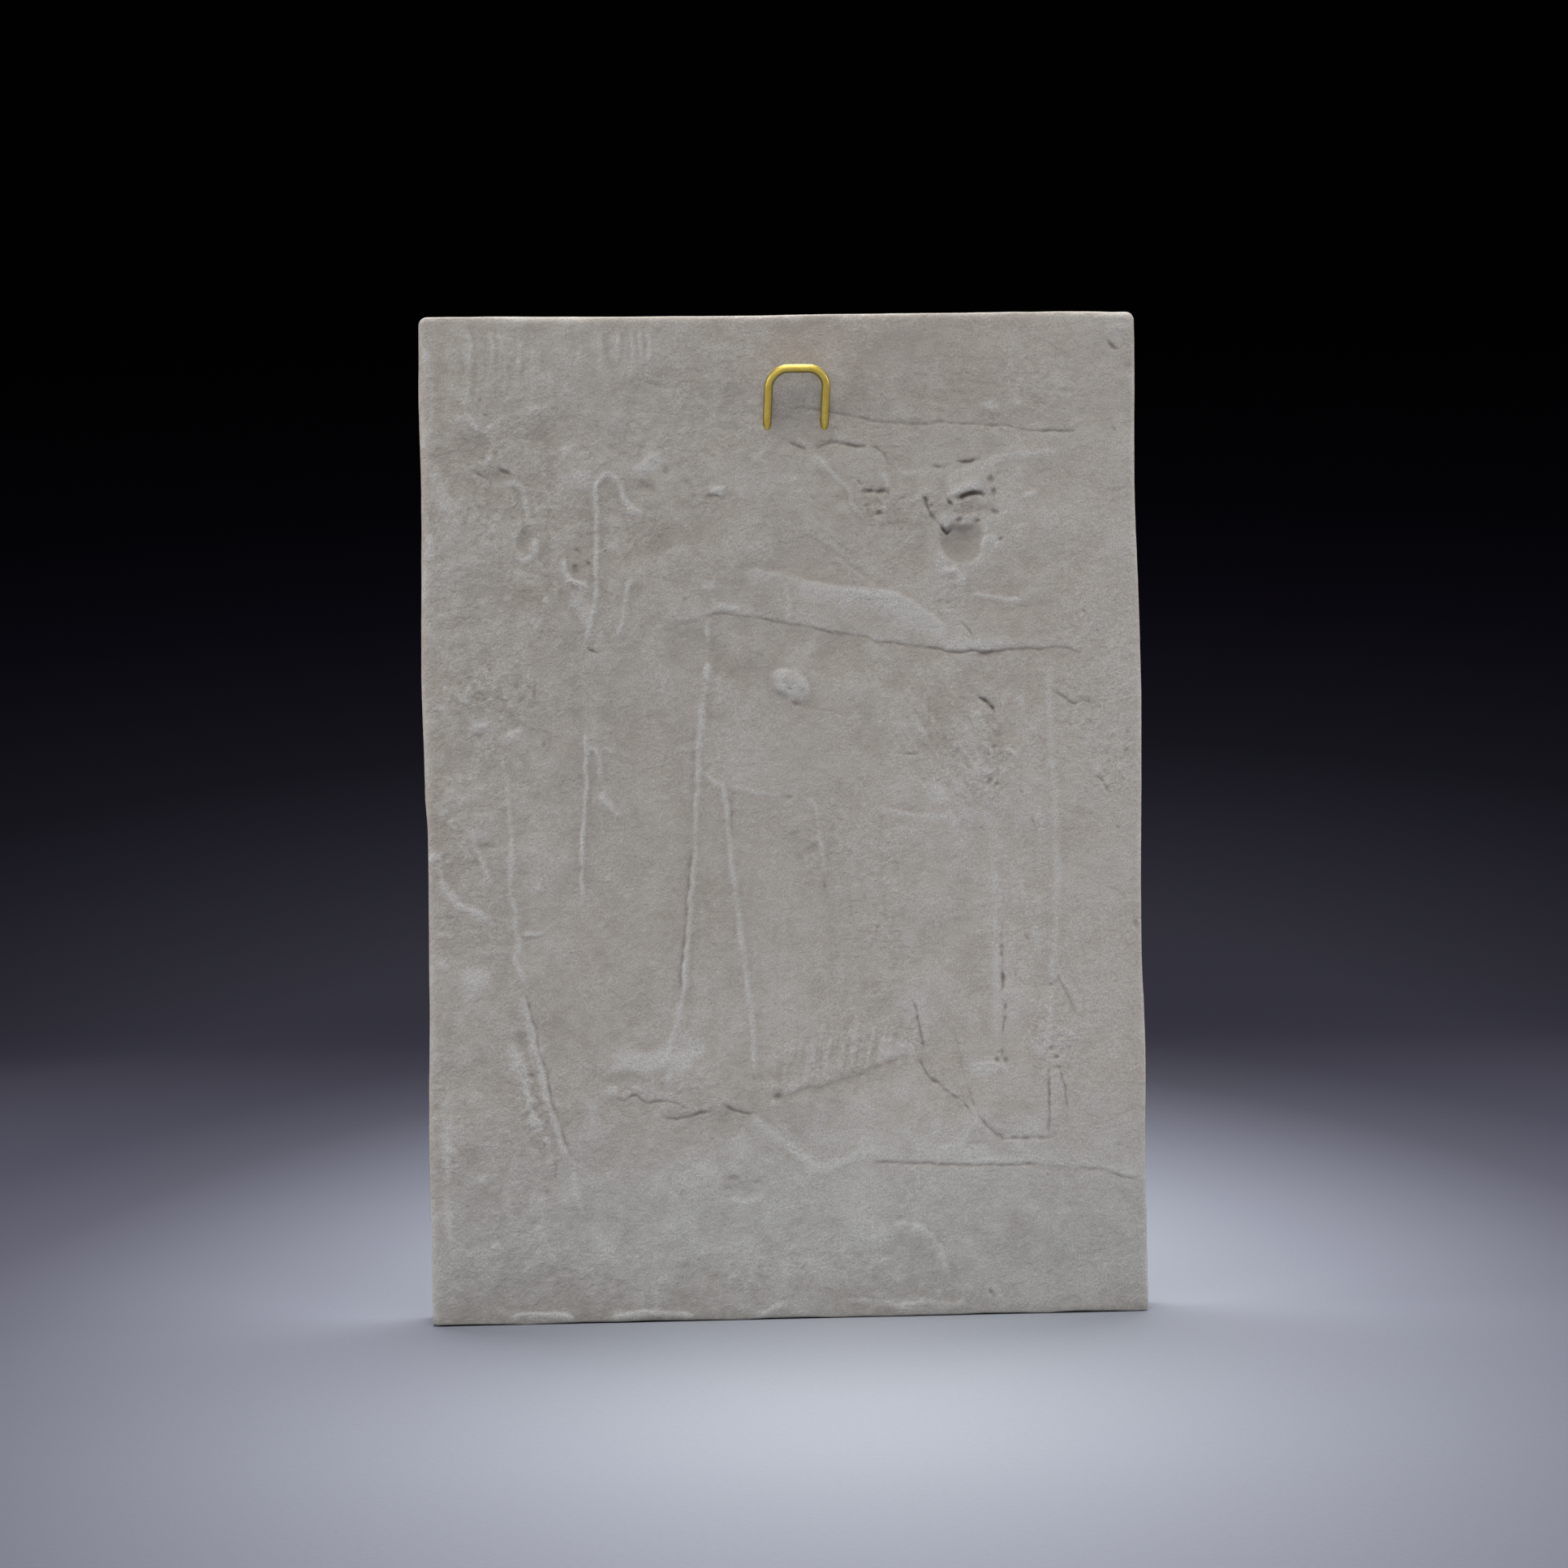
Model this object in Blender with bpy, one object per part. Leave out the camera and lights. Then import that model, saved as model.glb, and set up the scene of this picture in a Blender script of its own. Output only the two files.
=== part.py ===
import math

import bmesh
import bpy
import numpy as np

mm = 0.001

# Plaster slab, standing on its lower edge: rough back towards -Y, relief towards +Y
slab_width = 212 * mm
slab_height = 297 * mm
slab_depth = 25 * mm
edge_radius = 2.6 * mm
foot_cut = 0.5 * mm  # of the rounded lower edge, taken off so that the slab stands flat
side_rows = 9

# Mesh of the slab before and after it is thinned
lattice_step = 1.15 * mm
lattice_kept = 0.0335

# How far the cast edges wander: height or width in hundredths, then the drift in millimetres
left_drift = (
    (4, 0), (18, 0.3), (34, -0.4), (48.5, -0.6), (53, 0.1), (64, 0.6), (83, -0.1), (92, 0.3), (98, 0),
)
right_drift = ((4, 0), (15, -0.2), (26, 0.3), (37, -0.4), (63, 0.6), (84, -0.5), (95, 0))
top_drift = ((8, 0), (30, -0.3), (46, -0.3), (60, 0), (93, 0.25), (98, 0))
drift_reach = 12 * mm

stroke_taper = 0.12  # share of a stroke's length that each end dies out over
stroke_margin = 2.5  # widest reach, times this, is as far as a stroke is worked out

# Trowel strokes on the back. Rise in millimetres, reach to the left and to the right of the stroke in
# millimetres, then the stroke's course in hundredths of the slab's width and height.
swiped_band = (
    (0.55, 0.9, 7.0, ((44, 74.3), (50, 74.1), (59, 72.6), (66.5, 72), (69.5, 70.2), (74, 67.5))),
    (0.85, 4.5, 0.9, ((38.5, 70), (42, 70.5), (50, 69.4), (61.5, 67.8), (73, 66.3), (85, 66.4), (93, 66))),
    (-0.8, 0.9, 0.9, ((39, 69.6), (42, 69.9), (50, 68.9), (61.5, 67.4), (73, 65.9), (80, 65.8), (86, 66.1))),
    (-0.7, 1.1, 1.1, ((75, 66), (78.5, 65.9), (82, 66.2))),
    (0.35, 1.0, 1.0, ((50.3, 73.6), (50.8, 71.5), (51.2, 68))),
)
long_ridges = (
    (0.6, 1.3, 1.3, ((39.5, 69.5), (39.6, 64.8), (38.5, 59.5), (37.9, 54), (37.5, 49), (36.1, 37))),
    (0.6, 1.3, 1.3, ((36.4, 39.5), (35.5, 33), (34.5, 29.8), (33, 26), (31, 24.6))),
    (-0.5, 0.8, 0.8, ((36.7, 45.5), (35.9, 41), (35.4, 36), (34.9, 32))),
    (0.5, 1.1, 1.1, ((38.3, 54), (39.4, 54.2), (41.3, 53.2), (41.9, 50), (42.6, 44.5), (44.9, 30))),
    (0.4, 1.0, 1.0, ((41.6, 53.1), (45, 52.6), (51, 52), (53.8, 51.5), (54.7, 49), (55.1, 46), (55.8, 43.6))),
    (0.5, 1.1, 1.1, ((22.4, 59), (22.4, 55), (22.2, 51), (21.7, 47), (21.6, 42.3), (20, 41.8))),
    (0.45, 1.0, 1.0, ((22.5, 55.6), (22.8, 56.8), (23.9, 56.7), (24.4, 55), (24.3, 53), (27.4, 50))),
    (0.45, 1.1, 1.1, ((10.7, 57), (11.5, 52), (11.8, 45), (12.2, 41), (12.8, 38), (12.2, 36), (13.4, 33.5))),
)
arch_ridge = (
    (0.7, 1.3, 1.3, ((23, 67.3), (24.1, 73.3), (24.3, 82), (25.6, 84.2), (27, 84.2), (30.2, 80.5))),
    (0.5, 1.6, 1.6, ((29.5, 81), (31.5, 80.4), (34.5, 81))),
    (0.5, 0.9, 4.5, ((20, 74), (22, 73.5), (24, 73.1))),
    (0.8, 0.9, 2.0, ((29.6, 84.4), (31.1, 85.1), (32.2, 85.9), (33.2, 85.5))),
    (0.7, 0.9, 2.2, ((39.8, 82.6), (41.2, 82.6), (43, 82.4))),
    (-0.6, 0.8, 0.9, ((39.6, 81.9), (41, 81.9), (42.4, 81.7))),
)
loop_drags = (
    (0.5, 1.1, 1.1, ((50.7, 91), (51.2, 89), (53.8, 87), (59.6, 82.6), (60.3, 80.8), (63.2, 77.8))),
    (-0.5, 0.8, 0.8, ((51.3, 87.3), (52.6, 86.8), (54, 86.4))),
    (-0.4, 0.9, 0.9, ((55.2, 86.7), (57.2, 87.2), (59.5, 86.9), (62.6, 86.8))),
    (0.6, 0.9, 5.0, ((73, 82), (73.6, 83.4), (76, 84.4), (80, 85.3), (84, 86), (90, 86))),
    (0.35, 0.9, 0.9, ((83.4, 81.4), (86.7, 82.4))),
    (0.4, 1.0, 1.0, ((75.8, 72), (80, 71.6), (85, 71.3))),
    (0.3, 3.0, 3.0, ((86, 78), (86.6, 73), (87.8, 66))),
)
chipped_place = (
    (0.7, 2.5, 0.9, ((72.8, 81.4), (75.5, 81.8), (78.3, 82.3))),
    (-1.1, 0.9, 0.9, ((74.5, 81.4), (76.5, 81.6), (78.4, 81.8))),
    (-0.8, 0.8, 0.8, ((60.8, 82.1), (63, 82.2), (65.2, 81.8))),
    (-0.6, 0.8, 0.8, ((60.6, 83.4), (62, 82.7))),
    (-0.8, 0.8, 0.8, ((69.7, 81.7), (70.5, 81.3), (70.7, 80.6))),
    (-0.9, 0.9, 0.9, ((71.5, 79.2), (72.6, 78.7), (73.4, 78), (74.1, 78.4))),
    (-0.8, 0.8, 0.8, ((73, 81.4), (74.6, 80.6))),
    (0.7, 1.2, 1.0, ((71.2, 79.5), (71.6, 77), (72.8, 74.8), (74.8, 74.6), (78.6, 77.7), (80.6, 77.9))),
    (0.5, 1.2, 1.2, ((75.4, 74.7), (75.2, 73.6), (74.9, 72.5))),
)
patch_edge = (
    (0.6, 3.5, 0.9, ((29, 22.3), (33, 22), (36.4, 21.3), (39.8, 21.2), (41, 21.4), (45.3, 20.6))),
    (-0.6, 0.8, 0.8, ((29, 22), (33, 21.8), (36.4, 21.1))),
    (-0.6, 0.8, 0.8, ((36, 20.4), (39.7, 21), (41, 21.2), (45.3, 20.5))),
    (-0.8, 1.2, 1.8, ((48.3, 22), (58.8, 23.9), (63.5, 25.2), (67.6, 26.1), (69.4, 24.2), (74, 21.5))),
    (0.5, 6.0, 0.8, ((48.3, 22.4), (52.3, 23.3), (58.8, 24.3), (63.5, 25.6), (67.6, 26.5))),
    (-0.5, 0.8, 0.8, ((74.8, 20.9), (76.6, 19.6), (80, 17.5), (83, 17.6), (87.5, 17.8))),
    (-0.45, 0.9, 0.9, ((73.5, 27.5), (74.3, 24.5), (76.3, 20.2))),
    (-0.5, 0.9, 0.9, ((67.5, 31.8), (68.4, 28.8), (68.9, 26))),
    (0.6, 0.9, 4.0, ((74.6, 24.6), (77, 24.9), (80, 25.1))),
)
foot_ridge = (
    (0.8, 1.6, 2.2, ((45.3, 20), (48, 18.3), (51.5, 16.3), (54, 14.9), (57, 15.3), (60, 16.4), (62.7, 16.4))),
    (0.6, 4.0, 0.9, ((59, 15.6), (67, 15.4), (76, 15.1), (85, 15), (92, 14.5), (99, 13.2))),
    (-0.7, 0.9, 0.9, ((62, 15.3), (67, 15.1), (76, 14.9), (85, 14.8))),
    (0.5, 0.8, 2.0, ((70.3, 16.6), (73.8, 16.9), (77.6, 17))),
    (0.7, 1.5, 1.0, ((40.6, 12.1), (43.5, 11.6), (46, 12.2), (47.2, 13.4))),
    (0.5, 1.0, 3.0, ((60.5, 6.8), (62.5, 8.8), (66, 9.3), (69.2, 8.3), (70.9, 6.4))),
)
left_trough = (
    (0.9, 0.9, 5.0, ((13.5, 33), (14.8, 29.3), (16.3, 25), (17.1, 21.8), (18.3, 18.9), (20, 16))),
    (-0.8, 1.5, 0.8, ((13.8, 33), (15.1, 29.3), (16.6, 25), (17.4, 21.8), (18.6, 18.9), (20.2, 16))),
    (0.7, 1.5, 1.5, ((0.3, 42.5), (2.3, 43.8), (4.8, 41.8), (6.6, 41.2), (9.5, 40.1))),
    (0.4, 1.0, 1.0, ((2.3, 43.8), (2, 45.5), (1.4, 46.6))),
    (0.4, 1.0, 1.0, ((6, 49.8), (7, 47.2), (9, 43.2))),
    (0.5, 1.0, 1.6, ((4.3, 89.2), (6.5, 90.3), (8.8, 88.5), (10.6, 89.6))),
    (-0.6, 0.8, 0.8, ((7.2, 84.6), (8.5, 84.2), (9.8, 83.7))),
    (-0.6, 0.8, 0.8, ((10.6, 85.3), (11.5, 84.5), (13.4, 83.9))),
    (0.5, 1.1, 1.1, ((15.4, 81), (14.8, 79.5), (13.2, 77.5), (13.5, 75.9), (14.8, 75.8), (15.8, 76.9))),
    (0.6, 0.8, 3.0, ((10.4, 58.6), (12, 58.3), (14.3, 59))),
)
right_ridges = (
    (0.4, 1.0, 1.0, ((79.3, 50), (79.3, 45), (79.5, 38), (79.4, 30), (79.2, 25.5))),
    (0.35, 1.0, 1.0, ((80.9, 46), (80.8, 38), (80.9, 33), (80.8, 26))),
    (0.45, 1.8, 1.8, ((87.2, 65), (87.4, 56), (87.9, 50), (88, 43), (87.3, 35), (86.7, 29), (86.3, 25))),
    (0.45, 1.0, 1.0, ((87.4, 34.8), (88.6, 33.2), (90, 32), (91.3, 29.2))),
    (-0.6, 0.8, 0.8, ((77.3, 61.7), (78.6, 61), (79.9, 59.8))),
    (0.35, 1.0, 1.0, ((63, 50.9), (66, 50.2), (75, 49.6))),
    (0.4, 1.0, 1.0, ((80.2, 57.5), (81.6, 56.2), (83, 55))),
)
stroke_groups = (
    swiped_band,
    long_ridges,
    arch_ridge,
    loop_drags,
    chipped_place,
    patch_edge,
    foot_ridge,
    left_trough,
    right_ridges,
)

# Mounds and hollows on the back: rise in millimetres, centre in hundredths of width and height, the two
# radii in millimetres, turn in degrees, and how square the wall is (2 is a soft dish)
blots = (
    (1.5, (51.3, 62.9), (5.2, 4.2), -25, 3),
    (-0.7, (50.2, 61.3), (3.6, 1.8), -10, 3),
    (-1.9, (75.2, 77.9), (6.6, 7.8), -15, 4),
    (-0.8, (76.2, 79.8), (6.0, 3.2), 0, 4),
    (-0.9, (16.8, 88.5), (6.8, 5.2), 0, 4),
    (-0.6, (7.6, 86.9), (4.6, 4.6), 0, 3),
    (-0.8, (14.3, 77.6), (1.8, 3.6), -10, 3),
    (-0.8, (31.3, 83), (2.8, 2.0), 0, 3),
    (0.5, (31.5, 25.9), (8.0, 3.0), 0, 3),
    (-0.9, (12.9, 27.8), (1.9, 2.6), 0, 3),
    (0.6, (18.8, 12.8), (4.6, 4.4), 0, 2),
    (0.4, (6.8, 34), (4.6, 4.8), 0, 4),
    (0.7, (7.7, 59.5), (3.2, 2.4), 0, 3),
    (-0.8, (43.6, 13.2), (6.4, 3.6), 0, 3),
    (0.5, (22.3, 71), (3.4, 5.6), 0, 3),
    (0.8, (1.2, 46.5), (2.4, 1.8), 0, 3),
    (-0.7, (97.8, 96.8), (2.6, 2.0), 0, 3),
    (-1.0, (80.3, 33.2), (0.9, 1.9), 0, 3),
    (-0.8, (79, 53.2), (1.4, 1.4), 0, 3),
    (0.8, (15, 0.2), (13.0, 2.6), 0, 6),
    (0.9, (30.5, 0.2), (13.5, 2.6), 0, 6),
    (0.7, (47.3, 0.6), (5.5, 3.0), 25, 4),
)

# The relief: a flat border round a sunk field with one leafy sprig
border_width = 15 * mm
border_slope = 3 * mm
field_depth = 3.6 * mm
sprig_height = 232 * mm
sprig_bend = 17 * mm
sprig_swing = math.radians(225)  # of the wave that the stem follows
sprig_shift = 0.35  # share of the bend that the whole sprig is moved back to the left
stem_radius = 1.9 * mm
leaf_pairs = 6
first_pair = 0.12  # share of the stem's length passed before the lowest pair
last_pair = 0.86
pair_stagger = 0.03  # how much higher the right leaf of a pair sits
tip_leaf = 0.9
tip_leaf_size = 0.64  # share of the lowest leaves' size
leaf_length = 43 * mm
leaf_width = 15.5 * mm
leaf_rise = 2.9 * mm
leaf_end_rise = 0.65  # share of its rise that a leaf keeps at its ends
leaf_fullness = 0.8  # below 1, a leaf is widest nearer its foot and its back is rounder
leaf_shrink = 0.45  # share of its length that the last leaf loses
leaf_angle = math.radians(40)
rib_width = 0.9 * mm
rib_depth = 0.9 * mm
least_width = 0.01 * mm  # keeps a leaf's point from having no width

# Wire loop, its legs cast into the back
wire_radius = 1.3 * mm
loop_width = 17 * mm  # between the legs' centre lines
loop_rise = 14.6 * mm  # from where the legs leave the plaster to the top's centre line
loop_offset = 4.8 * mm  # from the slab's centre line
loop_drop = 16.7 * mm  # from the slab's top edge to the top's centre line
loop_lean = 5 * mm  # how far the top stands off the back
loop_skew = 0.6 * mm  # how far the top is shifted to the right of the feet
shoulder_radius = 5.6 * mm
foot_bend_radius = 9 * mm
foot_angle = math.radians(72)
foot_end = 2.5 * mm
socket_gap = 0.3 * mm
wire_sides = 12
open_leg_points = 4  # of each leg's points above the plaster, how many its socket runs past


def clear_scene():
    for thing in list(bpy.data.objects):
        bpy.data.objects.remove(thing, do_unlink=True)


def make_material(name, colour, roughness, metallic):
    material = bpy.data.materials.new(name)
    material.use_nodes = True
    shader = material.node_tree.nodes["Principled BSDF"]
    shader.inputs["Base Color"].default_value = (*colour, 1)
    shader.inputs["Roughness"].default_value = roughness
    shader.inputs["Metallic"].default_value = metallic
    material.diffuse_color = (*colour, 1)
    return material


def add_object(name, mesh, material=None):
    thing = bpy.data.objects.new(name, mesh)
    if material:
        mesh.materials.append(material)
    bpy.context.scene.collection.objects.link(thing)
    return thing


def add_cutter(name, mesh):
    cutter = add_object(name, mesh)
    cutter.hide_render = True
    cutter.display_type = "WIRE"
    return cutter


def eased(share):
    share = np.clip(share, 0, 1)
    return share * share * (3 - 2 * share)


def drift(places, knots):
    """Smooth wandering of an edge through its knots, in metres."""
    at, value = np.transpose(knots)
    index = np.clip(np.searchsorted(at, places) - 1, 0, len(at) - 2)
    share = eased((places - at[index]) / (at[index + 1] - at[index]))
    return mm * (value[index] + (value[index + 1] - value[index]) * share)


def smooth_course(points, per_span=5):
    """A Catmull-Rom line through hundredths of width and height, in metres."""
    knots = np.array(points) * (slab_width / 100, slab_height / 100)
    knots = np.vstack([2 * knots[0] - knots[1], knots, 2 * knots[-1] - knots[-2]])
    share = np.linspace(0, 1, per_span, endpoint=False)[:, None]
    spans = []
    for a, b, c, d in zip(knots, knots[1:], knots[2:], knots[3:]):
        curve = 2 * b + (c - a) * share + (2 * a - 5 * b + 4 * c - d) * share**2
        spans.append((curve + (3 * b - a - 3 * c + d) * share**3) / 2)
    return np.vstack(spans + [knots[-2]])


def across_course(line, x, z):
    """Distance from the line, positive on its left, and the share of its length passed."""
    nearest = np.full(len(x), np.inf)
    side = np.ones(len(x))
    passed = np.zeros(len(x))
    lengths = np.hypot(*np.diff(line, axis=0).T)
    starts = np.concatenate([[0], np.cumsum(lengths)]) / lengths.sum()
    for start, end, from_share, to_share in zip(line, line[1:], starts, starts[1:]):
        run = end - start
        share = np.clip(((x - start[0]) * run[0] + (z - start[1]) * run[1]) / (run @ run), 0, 1)
        away_x = x - start[0] - share * run[0]
        away_z = z - start[1] - share * run[1]
        away = np.hypot(away_x, away_z)
        closer = away < nearest
        nearest[closer] = away[closer]
        side[closer] = np.sign(run[0] * away_z - run[1] * away_x)[closer]
        passed[closer] = (from_share + share * (to_share - from_share))[closer]
    return nearest * side, passed


def add_stroke(height, x, z, rise, reach_left, reach_right, points):
    """One stroke: a ridge or a groove whose two flanks may differ, dying out at its ends."""
    line = smooth_course(points)
    margin = stroke_margin * mm * max(reach_left, reach_right)
    low, high = line.min(axis=0) - margin, line.max(axis=0) + margin
    near = (x > low[0]) & (x < high[0]) & (z > low[1]) & (z < high[1])
    across, passed = across_course(line, x[near], z[near])
    reach = mm * np.where(across > 0, reach_left, reach_right)
    ends = eased(np.minimum(passed, 1 - passed) / stroke_taper)
    height[near] += mm * rise * ends * np.exp(-((across / reach) ** 2))


def add_blot(height, x, z, rise, centre, radii, turn, square):
    """One mound or hollow with an oval outline."""
    turn = math.radians(turn)
    away_x = x - centre[0] * slab_width / 100
    away_z = z - centre[1] * slab_height / 100
    along = (away_x * math.cos(turn) + away_z * math.sin(turn)) / (radii[0] * mm)
    across = (away_z * math.cos(turn) - away_x * math.sin(turn)) / (radii[1] * mm)
    height += mm * rise * np.exp(-(np.hypot(along, across) ** square))


def back_height(x, z):
    """How far the trowelled back stands out, from places measured off the slab's lower left corner."""
    height = np.zeros(len(x))
    for rise, reach_left, reach_right, points in (stroke for group in stroke_groups for stroke in group):
        add_stroke(height, x, z, rise, reach_left, reach_right, points)
    for rise, centre, radii, turn, square in blots:
        add_blot(height, x, z, rise, centre, radii, turn, square)
    return height


def stem_place(share):
    """A point on the sprig's stem, and its heading, from the foot (0) to the tip (1)."""
    swing = sprig_swing * share
    x = sprig_bend * (math.sin(swing) - sprig_shift)
    z = (slab_height - sprig_height) / 2 + sprig_height * share
    heading = math.atan2(sprig_height, sprig_bend * sprig_swing * math.cos(swing))
    return x, z, heading


def leaf_places():
    """Foot, heading and size of each leaf: pairs up the stem, and one at the tip."""
    leaves = []
    for pair in range(leaf_pairs):
        share = first_pair + (last_pair - first_pair) * pair / (leaf_pairs - 1)
        size = 1 - leaf_shrink * pair / leaf_pairs
        for side in (-1, 1):
            x, z, heading = stem_place(share + pair_stagger * (side > 0))
            leaves.append((x, z, heading + side * leaf_angle, size))
    x, z, heading = stem_place(tip_leaf)
    leaves.append((x, z, heading, tip_leaf_size))
    return leaves


def leaf_height(x, z, foot_x, foot_z, heading, size):
    """A pointed leaf: rounded across, with a sunk midrib."""
    along = ((x - foot_x) * math.cos(heading) + (z - foot_z) * math.sin(heading)) / (leaf_length * size)
    across = (z - foot_z) * math.cos(heading) - (x - foot_x) * math.sin(heading)
    inside = np.clip(along, 0, 1)
    half_width = leaf_width / 2 * size * np.sin(math.pi * inside**leaf_fullness) + least_width
    dome = np.clip(1 - (across / half_width) ** 2, 0, 1) ** leaf_fullness
    rib = rib_depth * np.exp(-((across / rib_width) ** 2)) * dome
    swell = leaf_end_rise + (1 - leaf_end_rise) * np.sin(math.pi * inside)
    lift = leaf_rise * size * dome * swell - rib
    return np.where((along > 0) & (along < 1), lift, 0)


def front_height(x, z):
    """Height of the relief over the border's plane; the sunk field is negative."""
    edge = np.minimum(np.minimum(x, slab_width - x), np.minimum(z, slab_height - z))
    sunk = eased((edge - border_width) / border_slope)
    x = x - slab_width / 2
    raised = np.zeros(len(x))
    for leaf in leaf_places():
        raised = np.maximum(raised, leaf_height(x, z, *leaf))
    stem = np.array([stem_place(share)[:2] for share in np.linspace(0, 1, 40)])
    away, _ = across_course(stem, x, z)
    raised = np.maximum(raised, stem_radius * np.exp(-((away / stem_radius) ** 2)))
    return sunk * (raised - field_depth)


def lattice_lines(low, high, count):
    """Positions across one direction, closer together where the edges are rounded."""
    rim = edge_radius * np.array([0, 0.25, 0.5, 0.75])
    middle = np.linspace(low + edge_radius, high - edge_radius, count + 1)
    return np.concatenate([low + rim, middle, high - rim[::-1]])


def box_lattice(xs, ys, zs):
    """Points and four-sided faces all over a box, from its positions along each side."""
    index = np.full((len(xs), len(ys), len(zs)), -1)
    skin = np.zeros(index.shape, bool)
    skin[[0, -1]] = skin[:, [0, -1]] = skin[:, :, [0, -1]] = True
    index[skin] = np.arange(skin.sum())
    i, j, k = np.nonzero(skin)
    points = np.stack([xs[i], ys[j], zs[k]], axis=1)
    outward = (index[-1], index[:, 0], index[:, :, -1])
    inward = (index[0], index[:, -1], index[:, :, 0])
    faces = []
    for sheet, order in [(sheet, 1) for sheet in outward] + [(sheet, -1) for sheet in inward]:
        corners = (sheet[:-1, :-1], sheet[1:, :-1], sheet[1:, 1:], sheet[:-1, 1:])
        faces.append(np.stack(corners[::order], axis=-1).reshape(-1, 4))
    return points, np.vstack(faces)


def slab_mesh():
    """The slab's closed skin: a rounded box with drifting edges, a rough back and a carved front."""
    half = np.array([slab_width / 2, slab_depth / 2])
    rows = (slab_height + foot_cut) / lattice_step
    points, faces = box_lattice(
        lattice_lines(-half[0], half[0], round(slab_width / lattice_step)),
        lattice_lines(-half[1], half[1], side_rows),
        lattice_lines(-foot_cut, slab_height, round(rows)),
    )
    low = points.min(axis=0) + edge_radius
    high = points.max(axis=0) - edge_radius
    core = np.clip(points, low, high)
    normal = (points - core) / np.linalg.norm(points - core, axis=1)[:, None]
    points = core + edge_radius * normal
    x, y, z = points.T
    across, up = x + slab_width / 2, z.copy()
    back = normal[:, 1] < 0
    front = normal[:, 1] > 0
    y[back] -= back_height(across[back], up[back]) * normal[back, 1] ** 2
    y[front] += front_height(across[front], up[front]) * normal[front, 1] ** 2
    near_side = eased(1 - (slab_width / 2 - np.abs(x)) / drift_reach)
    near_top = eased(1 - (slab_height - z) / drift_reach)
    height_share, width_share = 100 * up / slab_height, 100 * across / slab_width
    sideways = np.where(x < 0, -drift(height_share, left_drift), drift(height_share, right_drift))
    x += near_side * sideways
    z += near_top * drift(width_share, top_drift)
    mesh = bpy.data.meshes.new("plaster_plaque")
    mesh.from_pydata(np.round(points, 7).tolist(), [], faces.tolist())
    return mesh


def loop_outline():
    """The loop's centre line in its own plane, from foot to foot: across, and up from the plaster."""
    half = loop_width / 2 - shoulder_radius
    shoulder = loop_rise - shoulder_radius
    turn = np.linspace(0, math.pi / 2, 9)
    arc = shoulder_radius * np.stack([np.cos(turn), np.sin(turn)], axis=1)
    right = arc + (half, shoulder)
    left = right[::-1] * (-1, 1)
    leg = np.array([[loop_width / 2, shoulder * share] for share in np.linspace(0, 1, 6)[:-1]])
    return np.vstack([leg, right, left, leg[::-1] * (-1, 1)])


def foot_line(side):
    """A leg's cast-in end, from where it leaves the plaster: it bends towards the middle of the slab."""
    start_angle = math.atan2(loop_lean, loop_rise)
    turn = np.linspace(start_angle, foot_angle, 9)[1:]
    inward = foot_bend_radius * (math.cos(start_angle) - np.cos(turn))
    down = foot_bend_radius * (np.sin(turn) - math.sin(start_angle))
    inward = np.append(inward, inward[-1] + foot_end * math.sin(foot_angle))
    down = np.append(down, down[-1] + foot_end * math.cos(foot_angle))
    x = np.full(len(down), loop_offset + side * loop_width / 2)
    return np.stack([x, inward - slab_depth / 2, foot_level() - down], axis=1)


def foot_level():
    return slab_height - loop_drop - loop_rise


def loop_line():
    """The whole wire's centre line, from one cast-in end to the other."""
    across, up = loop_outline().T
    share = up / loop_rise
    x = loop_offset + across + loop_skew * share
    y = -slab_depth / 2 - loop_lean * share
    above = np.stack([x, y, foot_level() + up], axis=1)
    return np.vstack([foot_line(1)[::-1], above, foot_line(-1)])


def tube_mesh(name, line, radius, sides):
    """A round bar along a line, with flat ends."""
    tangents = np.gradient(line, axis=0)
    tangents /= np.linalg.norm(tangents, axis=1)[:, None]
    sideways = np.cross(tangents[0], (0, 0, 1))
    mesh = bmesh.new()
    rings = []
    for centre, tangent in zip(line, tangents):
        sideways = sideways - tangent * (sideways @ tangent)
        sideways /= np.linalg.norm(sideways)
        upright = np.cross(tangent, sideways)
        ring = []
        for side in range(sides):
            angle = 2 * math.pi * side / sides
            outward = math.cos(angle) * sideways + math.sin(angle) * upright
            ring.append(mesh.verts.new(centre + radius * outward))
        rings.append(ring)
    for ring, following in zip(rings, rings[1:]):
        for side in range(sides):
            after = (side + 1) % sides
            mesh.faces.new((ring[side], ring[after], following[after], following[side]))
    mesh.faces.new(rings[0][::-1])
    mesh.faces.new(rings[-1])
    bmesh.ops.recalc_face_normals(mesh, faces=mesh.faces)
    made = bpy.data.meshes.new(name)
    mesh.to_mesh(made)
    mesh.free()
    return made


def box_mesh(name, low, high):
    mesh = bmesh.new()
    bmesh.ops.create_cube(mesh, size=1)
    size = [top - bottom for bottom, top in zip(low, high)]
    middle = [(top + bottom) / 2 for bottom, top in zip(low, high)]
    bmesh.ops.scale(mesh, vec=size, verts=mesh.verts)
    bmesh.ops.translate(mesh, vec=middle, verts=mesh.verts)
    made = bpy.data.meshes.new(name)
    mesh.to_mesh(made)
    mesh.free()
    return made


def make_socket_cutter(name, side):
    """The hole that a leg is cast in: the leg's own line, wider by the gap, run out past the back."""
    foot_points = len(foot_line(side)) + open_leg_points
    line = loop_line()[:foot_points][::-1] if side > 0 else loop_line()[-foot_points:]
    end = line[-1] + (line[-1] - line[-2]) / np.linalg.norm(line[-1] - line[-2]) * socket_gap
    return add_cutter(name, tube_mesh(name, np.vstack([line, end]), wire_radius + socket_gap, wire_sides))


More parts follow.
